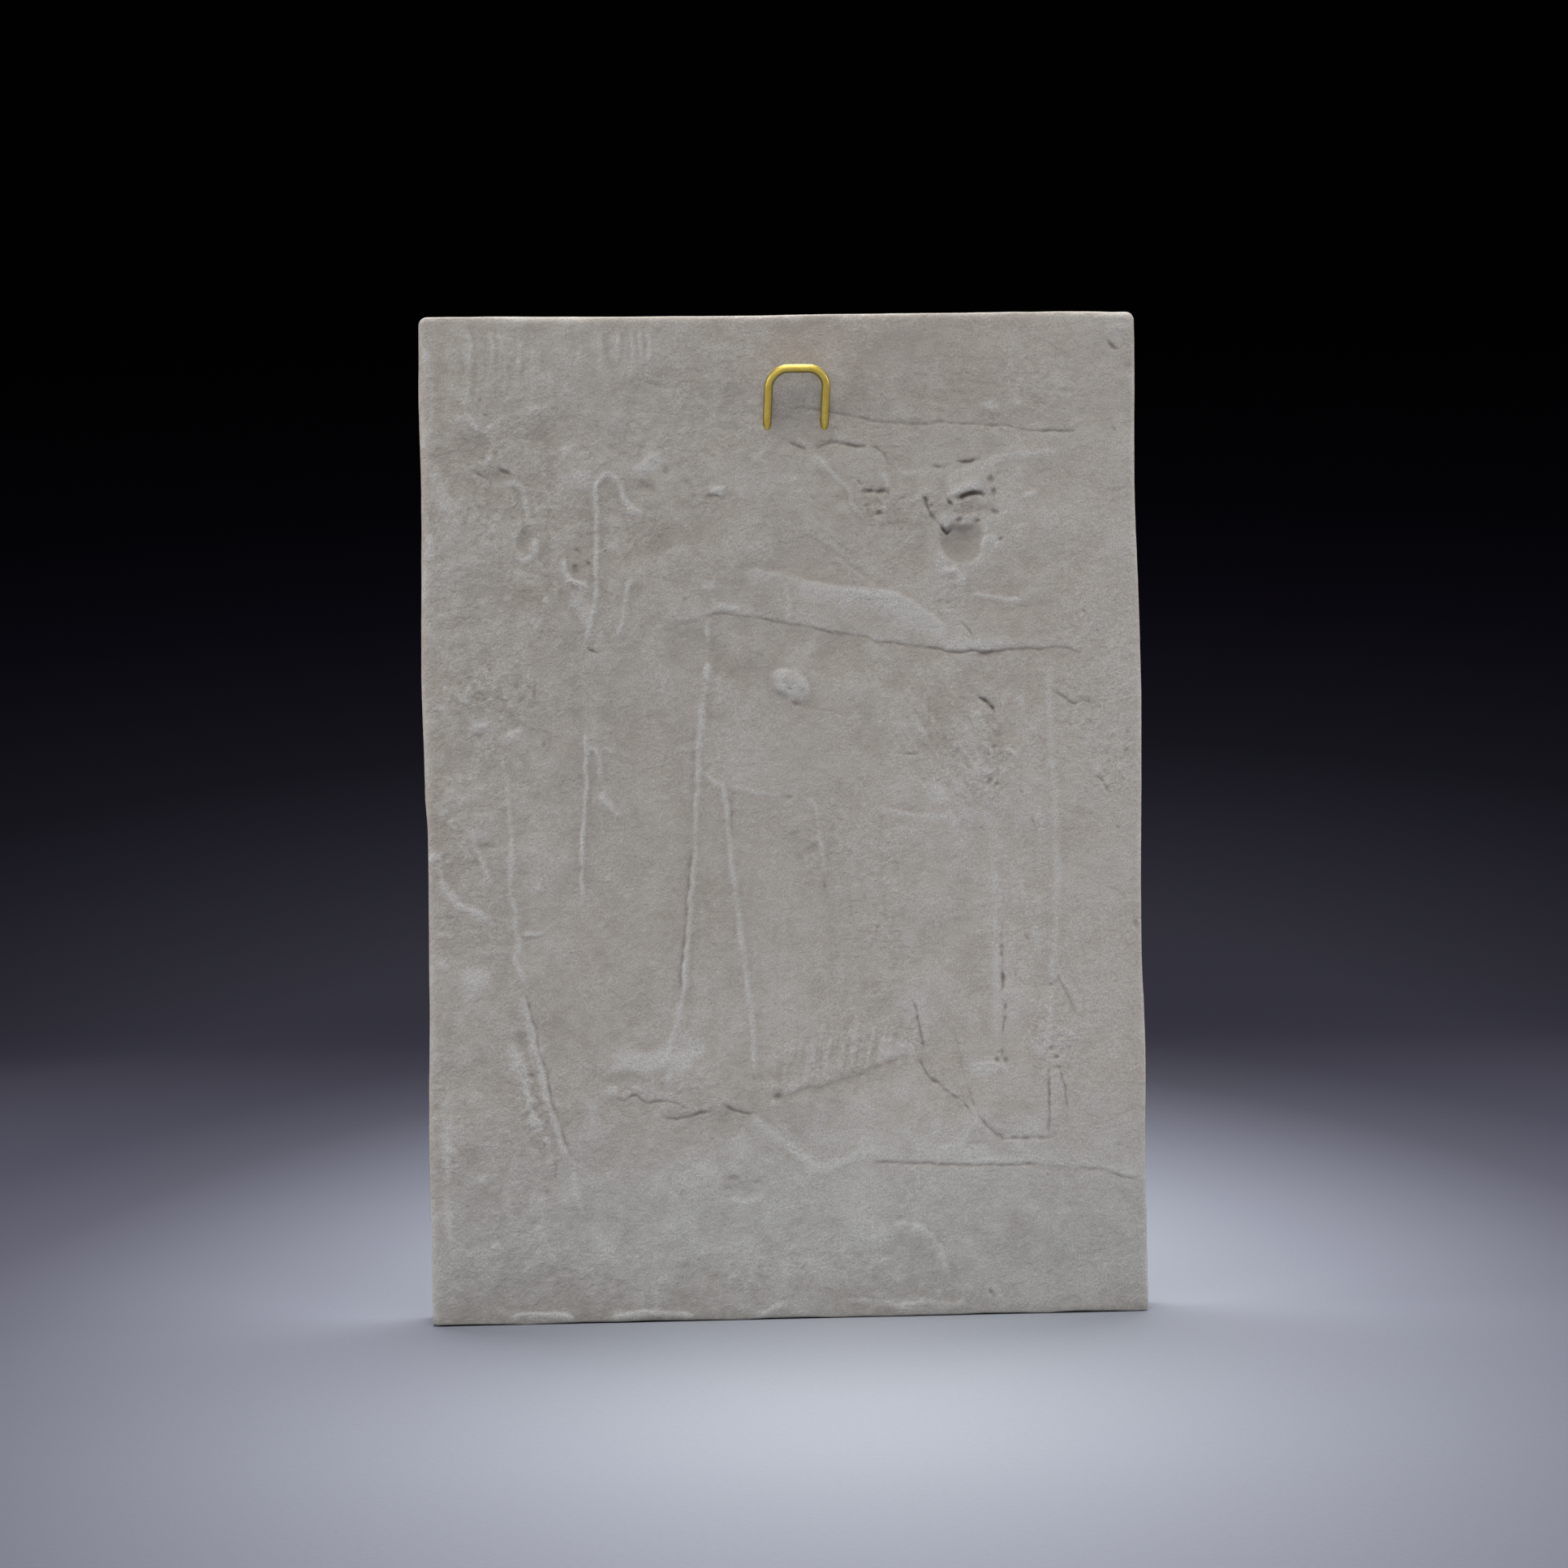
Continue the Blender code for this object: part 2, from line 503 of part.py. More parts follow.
def cut(thing, cutter):
    boolean = thing.modifiers.new(cutter.name, "BOOLEAN")
    boolean.operation = "DIFFERENCE"
    boolean.object = cutter


def make_plaque():
    plaster = make_material("plaster", (0.31, 0.29, 0.275), 0.92, 0)
    plaque = add_object("plaster_plaque", slab_mesh(), plaster)
    thin_out = plaque.modifiers.new("thin_out", "DECIMATE")
    thin_out.ratio = lattice_kept
    below = (-slab_width, -slab_depth, -slab_depth)
    above = (slab_width, slab_depth, 0)
    cut(plaque, add_cutter("floor_cutter", box_mesh("floor_cutter", below, above)))
    cut(plaque, make_socket_cutter("right_socket_cutter", 1))
    cut(plaque, make_socket_cutter("left_socket_cutter", -1))
    return plaque


def make_loop():
    brass = make_material("brass", (0.52, 0.38, 0.06), 0.32, 1)
    loop = add_object("hanging_loop", tube_mesh("hanging_loop", loop_line(), wire_radius, wire_sides), brass)
    loop.data.shade_smooth()
    loop.data.set_sharp_from_angle(angle=math.radians(50))
    return loop


clear_scene()
make_plaque()
make_loop()
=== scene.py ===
import math

import bpy
import numpy as np
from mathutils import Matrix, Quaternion, Vector


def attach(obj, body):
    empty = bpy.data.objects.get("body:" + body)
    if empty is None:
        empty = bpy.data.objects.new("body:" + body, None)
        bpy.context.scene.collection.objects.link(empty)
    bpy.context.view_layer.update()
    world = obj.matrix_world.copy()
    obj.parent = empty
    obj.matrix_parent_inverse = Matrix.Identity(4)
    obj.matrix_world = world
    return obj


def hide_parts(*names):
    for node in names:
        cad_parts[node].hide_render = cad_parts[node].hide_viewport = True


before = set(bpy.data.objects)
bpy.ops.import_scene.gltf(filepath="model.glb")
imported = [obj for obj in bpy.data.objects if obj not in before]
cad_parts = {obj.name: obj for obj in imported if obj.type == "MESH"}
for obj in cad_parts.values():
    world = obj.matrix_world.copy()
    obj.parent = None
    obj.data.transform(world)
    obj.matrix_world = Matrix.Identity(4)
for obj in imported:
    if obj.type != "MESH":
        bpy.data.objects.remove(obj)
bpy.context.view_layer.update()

mm = 0.001

# the plaster block, rough back to -Y, relief to +Y, standing on z = 0
plaque = {
    "width": 212 * mm,
    "height": 297 * mm,
    "depth": 25 * mm,
    "edgeRound": 2.6 * mm,
    "edgeDepth": 1.3 * mm,  # the rounding is flatter towards the two faces
    "edgeRows": 6,
    "footCut": 0.5 * mm,  # how much of the rounded foot is missing below the floor
    "footRound": 0.7 * mm,
    "footGap": 0.25 * mm,  # the ragged outer edge of the foot stays this far off the floor
    "footWave": 9 * mm,
    "meshStep": 0.43 * mm,
    "sideRows": 18,
    "triangles": 190000,
    "sheetStep": 0.35 * mm,  # height maps of the two faces
    # how far the outline strays, in mm outwards, by hundredths of the height or the width
    "leftDrift": [
        (4, 0), (18, 0.3), (34, -0.4), (48.5, -0.6), (53, 0.1), (64, 0.6), (83, -0.1), (92, 0.3), (98, 0),
    ],
    "rightDrift": [(4, 0), (15, -0.2), (26, 0.3), (37, -0.4), (63, 0.6), (84, -0.5), (95, 0)],
    "topDrift": [(8, 0), (30, -0.3), (46, -0.3), (60, 0), (93, 0.25), (98, 0)],
    "driftReach": 12 * mm,
    "wornRise": 0.05 * mm,  # fine unevenness of the cast sides
    "wornGrains": (7 * mm, 3.5 * mm),
    # the back between its marks: rise mm, grain mm, seed, heading in degrees
    "unevenness": [(0.3, 34, 3, 0), (0.32, 13, 4, 20), (0.11, 6, 5, 40), (0.045, 3.2, 6, 10)],
}

marks = {
    "warp": 0.28 * mm,  # how far marks wander off their drawn course
    "warpGrains": (3.2 * mm, 1.3 * mm),
    "ridgeShare": 0.6,  # marks keep this much of the rise, depth or tint written beside them
    "moundShare": 0.6,
    "crackShare": 0.7,
    "tintShare": 1.7,
    "ridgeSpread": 1.2,
    "ridgeFoot": 2.4,  # a ridge is followed out to this many times its reach
    "ridgeEnd": 4 * mm,  # the length over which it dies out
    "ridgeWaver": (0.4, 5 * mm),
    "ridgeShiver": (0.15, 1.2 * mm),
    "crackFoot": 3,
    "crackEnd": 3 * mm,
    "crackWaver": (0.5, 1.6 * mm),
    "crackWall": 1.6,
    "ovalWall": 3,  # how steeply crumbs, drags and calm places end
    "tintWall": 2.5,
    "tintRagged": (0.5, 4 * mm),
    "tintFrayed": (0.35, 1.5 * mm),
}

# Marks on the back. Places are hundredths of the width (from the left) and the height (from the foot).
# ridge: rise mm, reach mm to the left and to the right of the course, course
# crack: depth mm, half width mm, course
# mound: rise mm (negative for a hollow), place, radii mm, turn in degrees (if not 0), wall (if not 2)
# crumbs: rise mm, grain mm, place, radii mm, turn
# drags: rise mm, spacing mm, heading in degrees, place, radii mm, turn
# tint: share of paler (+) or darker (-) plaster, place, radii mm, turn; partly the plaster's own tone, partly
# painted highlight on ridges and rims and painted shade in hollows and cracks

topLeft = {
    "ridges": [
        (0.3, 0.5, 0.7, [
            (4.3, 89.2), (5.3, 89.8), (6.5, 90.2), (7.4, 89.4), (8.7, 88.5), (9.6, 88.9), (10.8, 89.5),
            (13, 90.2),
        ]),
        (0.4, 0.8, 0.8, [(8.2, 84.9), (9.2, 85.5), (9.9, 86.2)]),
        (0.08, 0.8, 0.8, [(13, 90.2), (15, 90.6), (17, 90.6), (18.6, 90.1), (19.6, 88.9), (19.9, 87.8)]),
        (0.3, 0.8, 0.8, [(11, 83), (13.2, 83.3), (14.2, 82.5), (14.6, 81), (14.9, 80), (14.6, 79.3)]),
        (0.16, 0.6, 0.6, [(11.5, 82), (12.5, 82.4), (13, 81)]),
        (0.5, 0.5, 0.9, [(13.2, 76.4), (13.8, 75.8), (14.6, 75.8), (15.6, 76.6), (15.8, 78.3)]),
        (0.16, 0.8, 0.8, [(15.9, 73.6), (17, 72), (17.2, 70.8)]),
        (0.14, 1.5, 1.5, [(19.5, 91), (21.5, 88.5), (20.5, 86.5), (19.5, 85)]),
        (0.12, 0.6, 0.6, [(14.9, 73.8), (16, 73)]),
        (0.14, 0.6, 0.6, [(14, 70), (15, 69.8), (15.9, 69.4), (16.5, 70), (17.2, 70.6)]),
        (0.2, 1.6, 2.2, [(1, 98), (1.4, 93), (1.6, 88), (2, 85), (3.3, 82), (5, 80.2)]),
        (0.3, 0.8, 1.0, [(0.6, 79), (1.4, 77.4), (1.2, 75.5)]),
        (0.2, 0.8, 0.8, [(28, 88), (29, 87.8), (30.5, 87.6), (32, 88.3)]),
    ],
    "cracks": [
        (0.7, 0.4, [(7.2, 84.6), (8.5, 84.2), (9.8, 83.7)]),
        (0.5, 0.45, [(10.6, 85.3), (11.3, 84.6), (12.2, 84.4), (13.4, 83.9)]),
        (0.25, 0.4, [(8, 91.2), (8.8, 92)]),
        (0.25, 0.4, [(8.3, 90.3), (9.8, 89.8)]),
        (0.25, 0.45, [(15.4, 64), (15.4, 61.3)]),
        (0.2, 0.4, [(31, 93.4), (32.7, 93.1), (34.5, 92.9), (35.3, 92.6)]),
        (0.2, 0.4, [(28.7, 89.5), (29, 88.5)]),
    ],
    "mounds": [
        (-0.3, (16.8, 88.3), (6, 4.4)), (-0.35, (7.5, 87), (4.6, 4.4), 0, 3),
        (-0.45, (14.3, 77.8), (1.7, 3.6), -10, 3), (-0.35, (11.3, 84.1), (2.8, 2.0), 0, 3),
        (0.4, (20, 86.8), (1.2, 0.9)), (0.25, (20.5, 92.6), (1.0, 1.0)), (0.3, (1, 95.8), (1.3, 2.2)),
        (0.3, (0.6, 87.3), (1.1, 1.1)),
    ],
    "crumbs": [
        (0.09, 1.3, (12, 84), (30, 36)), (0.09, 2.6, (12, 72), (26, 50)), (0.05, 1.5, (40, 92), (30, 18)),
    ],
    "tints": [
        (-0.6, (16.8, 88.2), (5, 3.6)), (-0.35, (7.5, 87), (5, 4)), (-0.4, (10.5, 84.3), (5, 2.6), -20),
        (0.35, (1, 70), (1.5, 40)), (0.35, (2.2, 83), (12, 2.5), -70), (-0.3, (14.3, 77.6), (2.2, 4)),
        (0.25, (20.5, 86.5), (3, 2)), (-0.25, (9.5, 92), (4, 2)), (0.2, (4, 77), (4, 9)),
        (-0.2, (8, 74), (7, 9)), (0.2, (15, 68), (7, 8)), (-0.25, (37, 95), (12, 6)),
        (0.15, (12, 97), (20, 5)), (-0.2, (26, 90.5), (9, 3)),
    ],
}
# thin runs of slurry down from the upper edge: place across, and the height that each reaches
runs = [
    (6.9, 91), (9.9, 94), (11.2, 92.5), (13.8, 94), (24.9, 93.5), (27.4, 95), (29.3, 93), (30.6, 95.5),
    (31.8, 94.5),
]
slurryRuns = {
    "ridges": [(0.18, 0.55, 0.55, [(at, 99), (at + 0.2, 96.5), (at - 0.2, low)]) for at, low in runs],
    "drags": [
        (0.08, 1.1, 91, (28, 96.6), (11, 8)),
        (0.08, 1.3, 88, (11, 95.6), (14, 10)),
        (0.08, 1.2, 90, (21, 97), (6, 8)),
    ],
}

archRidge = {
    "ridges": [
        (0.48, 0.5, 0.55, [
            (22.6, 67.3), (23.1, 69), (23.5, 70), (23.9, 71.5), (24.1, 73.3), (24.2, 75), (24.25, 77),
            (24.3, 80), (24.2, 82.7), (24.8, 83.6), (25.8, 84.2), (26.6, 84.2),
        ]),
        (0.55, 0.8, 0.9, [
            (25.2, 84), (26, 84.3), (26.9, 84), (27.6, 83.2), (28.2, 82), (28.8, 81.1), (29.6, 80.5),
            (30.6, 80.3), (31.6, 80.3),
        ]),
        (0.55, 0.4, 0.9, [(19.9, 76.5), (19.8, 75), (20.2, 74.1), (21.2, 73.5), (22.5, 73.3), (23.9, 73)]),
        (0.12, 0.6, 0.6, [(22, 66), (22.2, 62), (22.3, 59.5)]),
        (0.6, 1.2, 1.9, [(29.5, 84.2), (30.5, 84.8), (31.2, 85.1), (31.7, 85.6), (32.3, 85.9), (33, 85.4)]),
        (0.2, 0.8, 0.8, [(31.5, 87.5), (32, 86.3)]),
        (0.32, 0.6, 0.6, [
            (29, 74.5), (28.7, 73.2), (28.3, 72.3), (28.1, 71), (27.8, 70), (27.4, 69), (27, 68),
            (26.6, 67.2),
        ]),
        (0.16, 0.6, 0.6, [(26, 67), (27.5, 67.1), (28.5, 67.5), (30, 67.4)]),
        (0.5, 0.6, 2.2, [(40, 82.6), (41.3, 82.7), (42.5, 82.5)]),
        (0.2, 1.0, 2.6, [(43, 82.4), (46, 82.4), (50, 82.3)]),
    ],
    "cracks": [
        (0.5, 0.45, [(20.9, 76.9), (21.8, 76.6), (22.6, 76)]),
        (0.5, 0.45, [(22.7, 75.8), (23.5, 75.2)]),
        (0.55, 0.5, [(20.7, 74.7), (21.5, 75.2), (22.1, 75.1)]),
        (1.0, 0.45, [(22.5, 66.9), (23.6, 66.7), (24.8, 66.5)]),
        (0.3, 0.4, [(20.1, 73.4), (21.2, 72.9), (22.5, 72.8)]),
        (0.75, 0.45, [(39.5, 81.9), (41, 82), (42.3, 81.7)]),
    ],
    "mounds": [
        (0.25, (22.6, 83.7), (3.2, 3.4), 0, 4), (0.15, (22.3, 71), (3.4, 5.8)),
        (0.25, (22, 66.7), (0.9, 0.7)), (-0.5, (21.3, 74.6), (0.8, 0.8)), (-0.5, (31.3, 82.9), (2.2, 1.3)),
        (-0.3, (34, 84.5), (1.3, 1.6)), (0.2, (26, 77), (1.3, 1.3)), (0.2, (28.5, 78), (1.1, 1.0)),
        (0.15, (26, 73), (1.5, 1.5)), (0.2, (24.5, 68.1), (0.9, 0.8)), (-0.3, (32.7, 77), (3.4, 2.2)),
        (-0.2, (37, 83.3), (1.6, 0.9)),
    ],
    "crumbs": [(0.09, 1.4, (22, 74), (8, 9)), (0.07, 1.6, (30, 79), (16, 14))],
    "tints": [
        (0.35, (22.3, 83.6), (6, 5)), (0.8, (30.3, 84.6), (6, 2.6), 20), (1.0, (31.8, 85.5), (4, 1.3), 35),
        (0.5, (26.2, 84.1), (3.5, 0.8)), (0.6, (28.9, 81.6), (4.4, 1.2), -52),
        (0.5, (32.3, 85.9), (2, 1.6), 40), (-0.5, (31.5, 82.9), (2.6, 1.4)),
        (0.6, (30.6, 80.5), (3.6, 1.8), -20), (-0.5, (33.3, 77.5), (6, 6)),
        (0.8, (22.6, 70.6), (2.4, 8.5), 8), (-0.5, (21.8, 75.3), (3, 4)), (0.35, (39.5, 73.2), (5, 1.6)),
        (-0.3, (42.5, 67.3), (8, 5)), (-0.3, (27, 81.5), (3, 5)), (0.3, (26.5, 77), (4, 2), -15),
        (0.3, (45, 83.2), (13, 2.4)), (-0.25, (41.5, 82), (5, 1.2)), (0.2, (27, 71), (6, 12)),
        (-0.2, (30, 66), (9, 4)), (0.35, (33.5, 88), (4, 2), 20),
    ],
}

loopGround = {
    "ridges": [
        (0.14, 0.35, 0.7, [(50.5, 90), (51.5, 88.7), (52.8, 87.5), (53.9, 86.6)]),
        (0.2, 0.4, 1.1, [
            (54.4, 86.2), (55.6, 85.4), (56.6, 84.9), (57.3, 84), (58.2, 83.3), (59.4, 82.6), (59.8, 81.8),
            (60, 81), (61, 80.2), (62, 79.4), (62.8, 78.4),
        ]),
        (0.16, 0.6, 0.6, [(55, 84.9), (56.5, 84.5)]),
        (0.13, 0.9, 0.9, [(47, 86), (48, 84.5), (49.5, 83.7), (51, 83.8), (53.5, 83.1)]),
        (0.1, 0.7, 0.7, [(62, 95), (62.7, 92.5), (62.9, 90)]),
        (0.1, 0.7, 0.7, [(71, 91.3), (72.3, 90.5)]),
    ],
    "cracks": [
        (1.3, 0.4, [(51, 87.4), (52.4, 86.9), (53.9, 86.4)]),
        (0.55, 0.36, [
            (54.6, 86.5), (56, 86.9), (57.4, 87.3), (58.2, 87.1), (59.5, 86.9), (60.8, 86.7), (62.6, 86.8),
        ]),
        (0.3, 0.4, [(62.2, 86.8), (63.5, 86.6), (64.6, 85.9), (65.3, 84.9), (66.4, 84.6)]),
        (0.15, 0.4, [(56.6, 84.2), (57.6, 83.2), (58.9, 82.5), (59.3, 81.6), (59.6, 80.6), (61, 79.6)]),
        (0.34, 0.35, [
            (51, 90.8), (52, 90.6), (53.2, 90.7), (54.2, 90.5), (55.4, 90.4), (57.2, 90.1), (58.8, 90),
            (60, 89.75), (62, 89.5), (63.5, 89.3), (65.5, 89.1), (67.5, 88.95), (70, 88.95), (73, 89.05),
            (75.5, 88.9), (78, 88.85), (80, 88.7), (82, 88.65), (84, 88.35), (86, 88.15), (88.5, 88.2),
            (90, 88.1), (92, 88.1),
        ]),
        (0.7, 0.36, [(71.1, 84.8), (72.2, 84.6), (73.6, 84.6)]),
        (0.8, 0.36, [(74.5, 85.2), (76, 85.1), (77.2, 85.3), (78.2, 85.6)]),
        (0.4, 0.45, [(95.7, 97.6), (96.5, 96.8), (97.3, 96.3), (98.4, 96.2)]),
        (0.3, 0.4, [(76.8, 99.5), (78, 98.9), (79.4, 98.6)]),
        (0.25, 0.4, [(96.3, 88.6), (97.4, 87.9)]),
    ],
    "mounds": [
        (0.18, (62.8, 96.7), (0.9, 0.9)), (0.18, (63.7, 93.7), (0.9, 0.9)), (0.35, (79.7, 90.7), (2.1, 1.2)),
        (0.18, (83.2, 90.9), (1.2, 1.0)), (0.4, (97.8, 98.3), (2.6, 0.8)), (-0.3, (98.9, 94.6), (0.9, 1.4)),
        (0.2, (0.3, 90), (0.6, 1.2)),
    ],
    "drags": [(0.1, 1.5, -35, (59.5, 76.5), (14, 8), -35), (0.05, 1.2, -8, (80, 93), (30, 12))],
    "crumbs": [(0.06, 1.2, (45, 88), (34, 22)), (0.06, 1.0, (82, 92), (32, 16))],
    "tints": [
        (-0.3, (52, 88), (14, 10)), (0.3, (56.8, 84.4), (5, 1.6), -45), (0.25, (51, 83.6), (8, 1.4)),
        (0.5, (79.8, 90.8), (3.4, 1.6)), (0.4, (83.3, 91), (2, 1)), (0.6, (98, 98), (3, 3)),
        (-0.3, (96, 95.6), (3, 1.4), -30), (-0.2, (70, 96), (14, 5)), (0.2, (88, 94), (12, 9)),
        (0.25, (47, 83.5), (8, 3)), (0.2, (92, 87), (12, 4)),
    ],
}

chippedPlace = {
    "ridges": [
        (0.28, 0.8, 0.7, [(63.6, 84.2), (64.4, 83.7), (65, 82.8), (65.2, 82)]),
        (0.22, 0.8, 1.0, [(65.5, 83.9), (68, 84.1), (70, 84.1), (71.2, 83.8)]),
        (0.45, 2.6, 0.5, [(73, 81.8), (74, 81.9), (75, 81.9), (76, 82.1), (77, 82.3), (78.2, 82.3)]),
        (0.15, 2.2, 0.5, [(71.6, 79.5), (72.3, 79.2), (72.7, 79.1), (73.2, 78.6), (74, 78.7)]),
        (0.3, 0.7, 1.6, [
            (73, 82.2), (73.5, 83.2), (74.3, 83.9), (76, 84.3), (78, 84.8), (80, 85.3), (82, 85.7),
            (84, 85.9), (90, 86),
        ]),
        (0.25, 0.5, 0.5, [(79, 85), (79.6, 84.6), (80, 84)]),
        (0.6, 0.4, 0.9, [(72.2, 74.6), (73, 74.4), (74, 74.3), (75, 74.5)]),
        (0.4, 0.4, 1.4, [(77.4, 76.1), (78, 76.9), (78.6, 77.4), (79.6, 77.6), (80.5, 77.6)]),
        (0.3, 0.9, 0.9, [(75, 74.3), (75.3, 73.5), (75, 72.6)]),
        (0.32, 0.7, 0.7, [(83.5, 81.5), (85, 81.8), (86.5, 82.3)]),
        (0.35, 0.5, 0.8, [(75.6, 71.9), (78, 71.75), (80, 71.5), (82, 71.35), (84.5, 71.3)]),
        (0.14, 2.4, 2.4, [(86, 78), (86.3, 74), (87.3, 70.5), (87.8, 67)]),
        (0.1, 1.2, 1.2, [(97.5, 84), (98.8, 81.3)]),
    ],
    "cracks": [
        (0.45, 0.4, [(60.6, 83.4), (61.2, 83), (61.8, 82.7)]),
        (0.2, 0.35, [(62, 82.8), (64.5, 82.6)]),
        (0.8, 0.5, [(61, 82.1), (62, 82.35), (63.5, 82.2), (64.8, 82.2), (65.3, 81.7)]),
        (0.35, 0.45, [(66, 81.5), (67.5, 81.7), (68.8, 82)]),
        (0.8, 0.5, [(69.7, 81.7), (70.4, 81.4), (70.5, 80.7)]),
        (0.5, 0.4, [(70.9, 81), (71.3, 80.5)]),
        (0.6, 0.4, [(69.8, 81.6), (70.4, 80.9), (70.8, 80.2), (71.4, 79.5), (72.1, 79)]),
        (1.0, 0.4, [(71.8, 79.1), (72.4, 78.8), (72.8, 78.2), (73.1, 77.9), (73.5, 78.1), (74.2, 78.6)]),
        (0.8, 0.5, [(73, 81.5), (73.8, 81), (74.5, 80.6)]),
        (1.1, 0.55, [(74, 81.5), (75, 81.5), (76, 81.7), (77, 81.9), (78.2, 81.9), (78.5, 81.4)]),
        (0.35, 0.4, [(90.3, 83.8), (90.8, 83.5)]),
        (0.3, 0.4, [(91.8, 70.3), (93, 69.6)]),
        (0.25, 0.4, [(93.5, 68.4), (95, 67.8)]),
    ],
    "mounds": [
        (-1.2, (75, 77), (5.8, 5.2), -40, 5), (-0.5, (76.6, 77.9), (4.2, 3), 35, 3),
        (-0.35, (76.3, 80.4), (6.6, 3.0)), (-0.9, (63.75, 80.1), (0.8, 0.6)),
        (-0.4, (62.3, 80.8), (0.8, 0.6)), (-0.9, (79.8, 82), (0.6, 0.9)),
        (-0.7, (79.5, 83.3), (0.6, 0.9), 20), (-0.6, (80, 80.1), (1.0, 0.6), -20),
        (-0.6, (77.5, 79.1), (0.9, 0.6)), (-0.6, (75, 79.3), (0.9, 0.6)), (-0.5, (80.6, 77.4), (0.6, 0.5)),
        (-0.4, (72.2, 71.2), (0.7, 0.5)), (-0.4, (73.2, 71), (0.6, 0.5)),
        (0.15, (77, 83.4), (5.0, 2.8), 10, 3),
    ],
    "crumbs": [(0.14, 1.3, (75.5, 81), (9, 5)), (0.1, 1.2, (66, 80), (14, 9)), (0.08, 1.2, (73, 72), (8, 7))],
    "tints": [
        (-0.3, (66, 80.3), (13, 7)), (-0.3, (76, 80.6), (7, 6)), (-1.2, (75.1, 77), (5.2, 4.6), -40),
        (-0.6, (71.6, 77), (1, 5), 8), (-0.35, (77.3, 75.3), (4, 1), 40), (1.1, (79.7, 77.2), (2.6, 2), 10),
        (0.8, (74, 74.1), (3.4, 1)), (0.5, (75, 73), (1.2, 2)), (0.2, (87, 82), (14, 8)),
        (0.3, (82, 85.6), (8, 1.5), 8), (-0.25, (69, 75.5), (5, 6)), (0.4, (80.5, 71.7), (8, 1)),
        (-0.2, (81, 69.3), (8, 4)),
    ],
}

swipedBand = {
    "ridges": [
        (0.45, 0.8, 4.5, [
            (44, 74.2), (47, 74.3), (50, 74), (53, 73.4), (56, 72.8), (59, 72.5), (62, 72.3), (65, 72),
            (67, 71.5), (69, 70.6), (71, 69.5), (72.6, 68.5), (73.6, 67.8),
        ]),
        (0.26, 4.0, 0.4, [
            (39, 70.1), (41, 70.4), (42.5, 70.4), (44.5, 70.2), (48, 69.7), (52, 69.2), (56, 68.6),
            (60, 68.1), (63, 67.5), (67, 67.1), (70.5, 66.7), (73, 66.4), (77, 66.5), (79.5, 66.3),
            (83, 66.6), (86, 66.6), (90, 66.6), (92.2, 66),
        ]),
        (0.3, 0.6, 0.5, [(40.5, 70.6), (41.5, 70.85), (42.8, 70.75), (44.5, 70.5)]),
        (0.22, 0.6, 0.6, [(50.3, 73.6), (50.6, 72.5), (50.9, 71), (51, 69.5), (51.2, 68)]),
        (0.2, 0.8, 1.4, [(38.5, 73.2), (41, 73.2)]),
        (0.2, 0.7, 0.7, [(74, 69.5), (75, 69.3), (76, 68.6)]),
    ],
    "cracks": [
        (0.28, 0.35, [
            (39, 69.9), (41, 70.2), (42.5, 70.2), (44.5, 70), (46.5, 69.75), (48, 69.5), (50, 69.3), (52, 69),
            (54, 68.75), (56, 68.4), (58, 68.05), (60, 67.9),
        ]),
        (0.3, 0.35, [
            (59, 67.95), (61.5, 67.8), (63, 67.3), (65, 67.1), (67, 66.9), (69, 66.6), (70.5, 66.5),
        ]),
        (0.5, 0.4, [
            (69.5, 66.55), (72, 66.4), (73, 66.15), (75, 66.1), (77, 66.3), (78, 66), (79.5, 66.1),
            (81, 66.3), (83, 66.4),
        ]),
        (0.25, 0.35, [(82, 66.4), (84.5, 66.3), (86, 66.4), (90, 66.4), (91.5, 65.85), (92.2, 65.8)]),
        (0.3, 0.4, [(74, 69.5), (75, 69.2), (76, 68.5), (76.7, 67.8), (77.3, 67.1)]),
        (0.15, 0.4, [(33, 68.5), (36, 69.2), (39, 69.9)]),
    ],
    "mounds": [
        (-0.6, (78.6, 65.9), (3, 0.7), 5), (0.2, (79.5, 67.1), (3.0, 0.9)), (-0.3, (36.4, 71.7), (0.6, 0.5)),
        (1.2, (51.3, 62.9), (5.0, 3.5), -25, 3), (0.5, (49.8, 64.1), (2.4, 1.2)),
    ],
    "tints": [
        (0.3, (66, 69.6), (16, 4.6), -10), (0.6, (69.5, 69.5), (11, 2.4), -32),
        (0.35, (59, 71.6), (20, 2.6), -8), (0.25, (54, 71), (14, 3), -8), (-0.5, (78.6, 65.7), (4, 1)),
        (0.3, (79, 67.4), (6, 1.2)), (-0.2, (46, 65), (14, 5)), (0.35, (51, 63.3), (3.6, 2.2), -25),
        (-0.4, (53.2, 61.3), (4, 1), -20), (0.2, (58, 64), (12, 5)),
    ],
}
lump = {
    "ridges": [
        (0.4, 0.7, 1.6, [(48.8, 64.6), (50, 64.5), (51.3, 64.2), (52.4, 63.6), (53, 62.8), (53.5, 61.8)]),
    ],
    "cracks": [
        (0.5, 0.45, [(50.1, 62.9), (50.8, 62.7), (51.7, 62.5)]),
        (0.55, 0.45, [(50.9, 61.4), (51.8, 61.2), (53.2, 61)]),
    ],
    "mounds": [(-0.35, (50, 62.1), (2.0, 1.1), -10)],
}

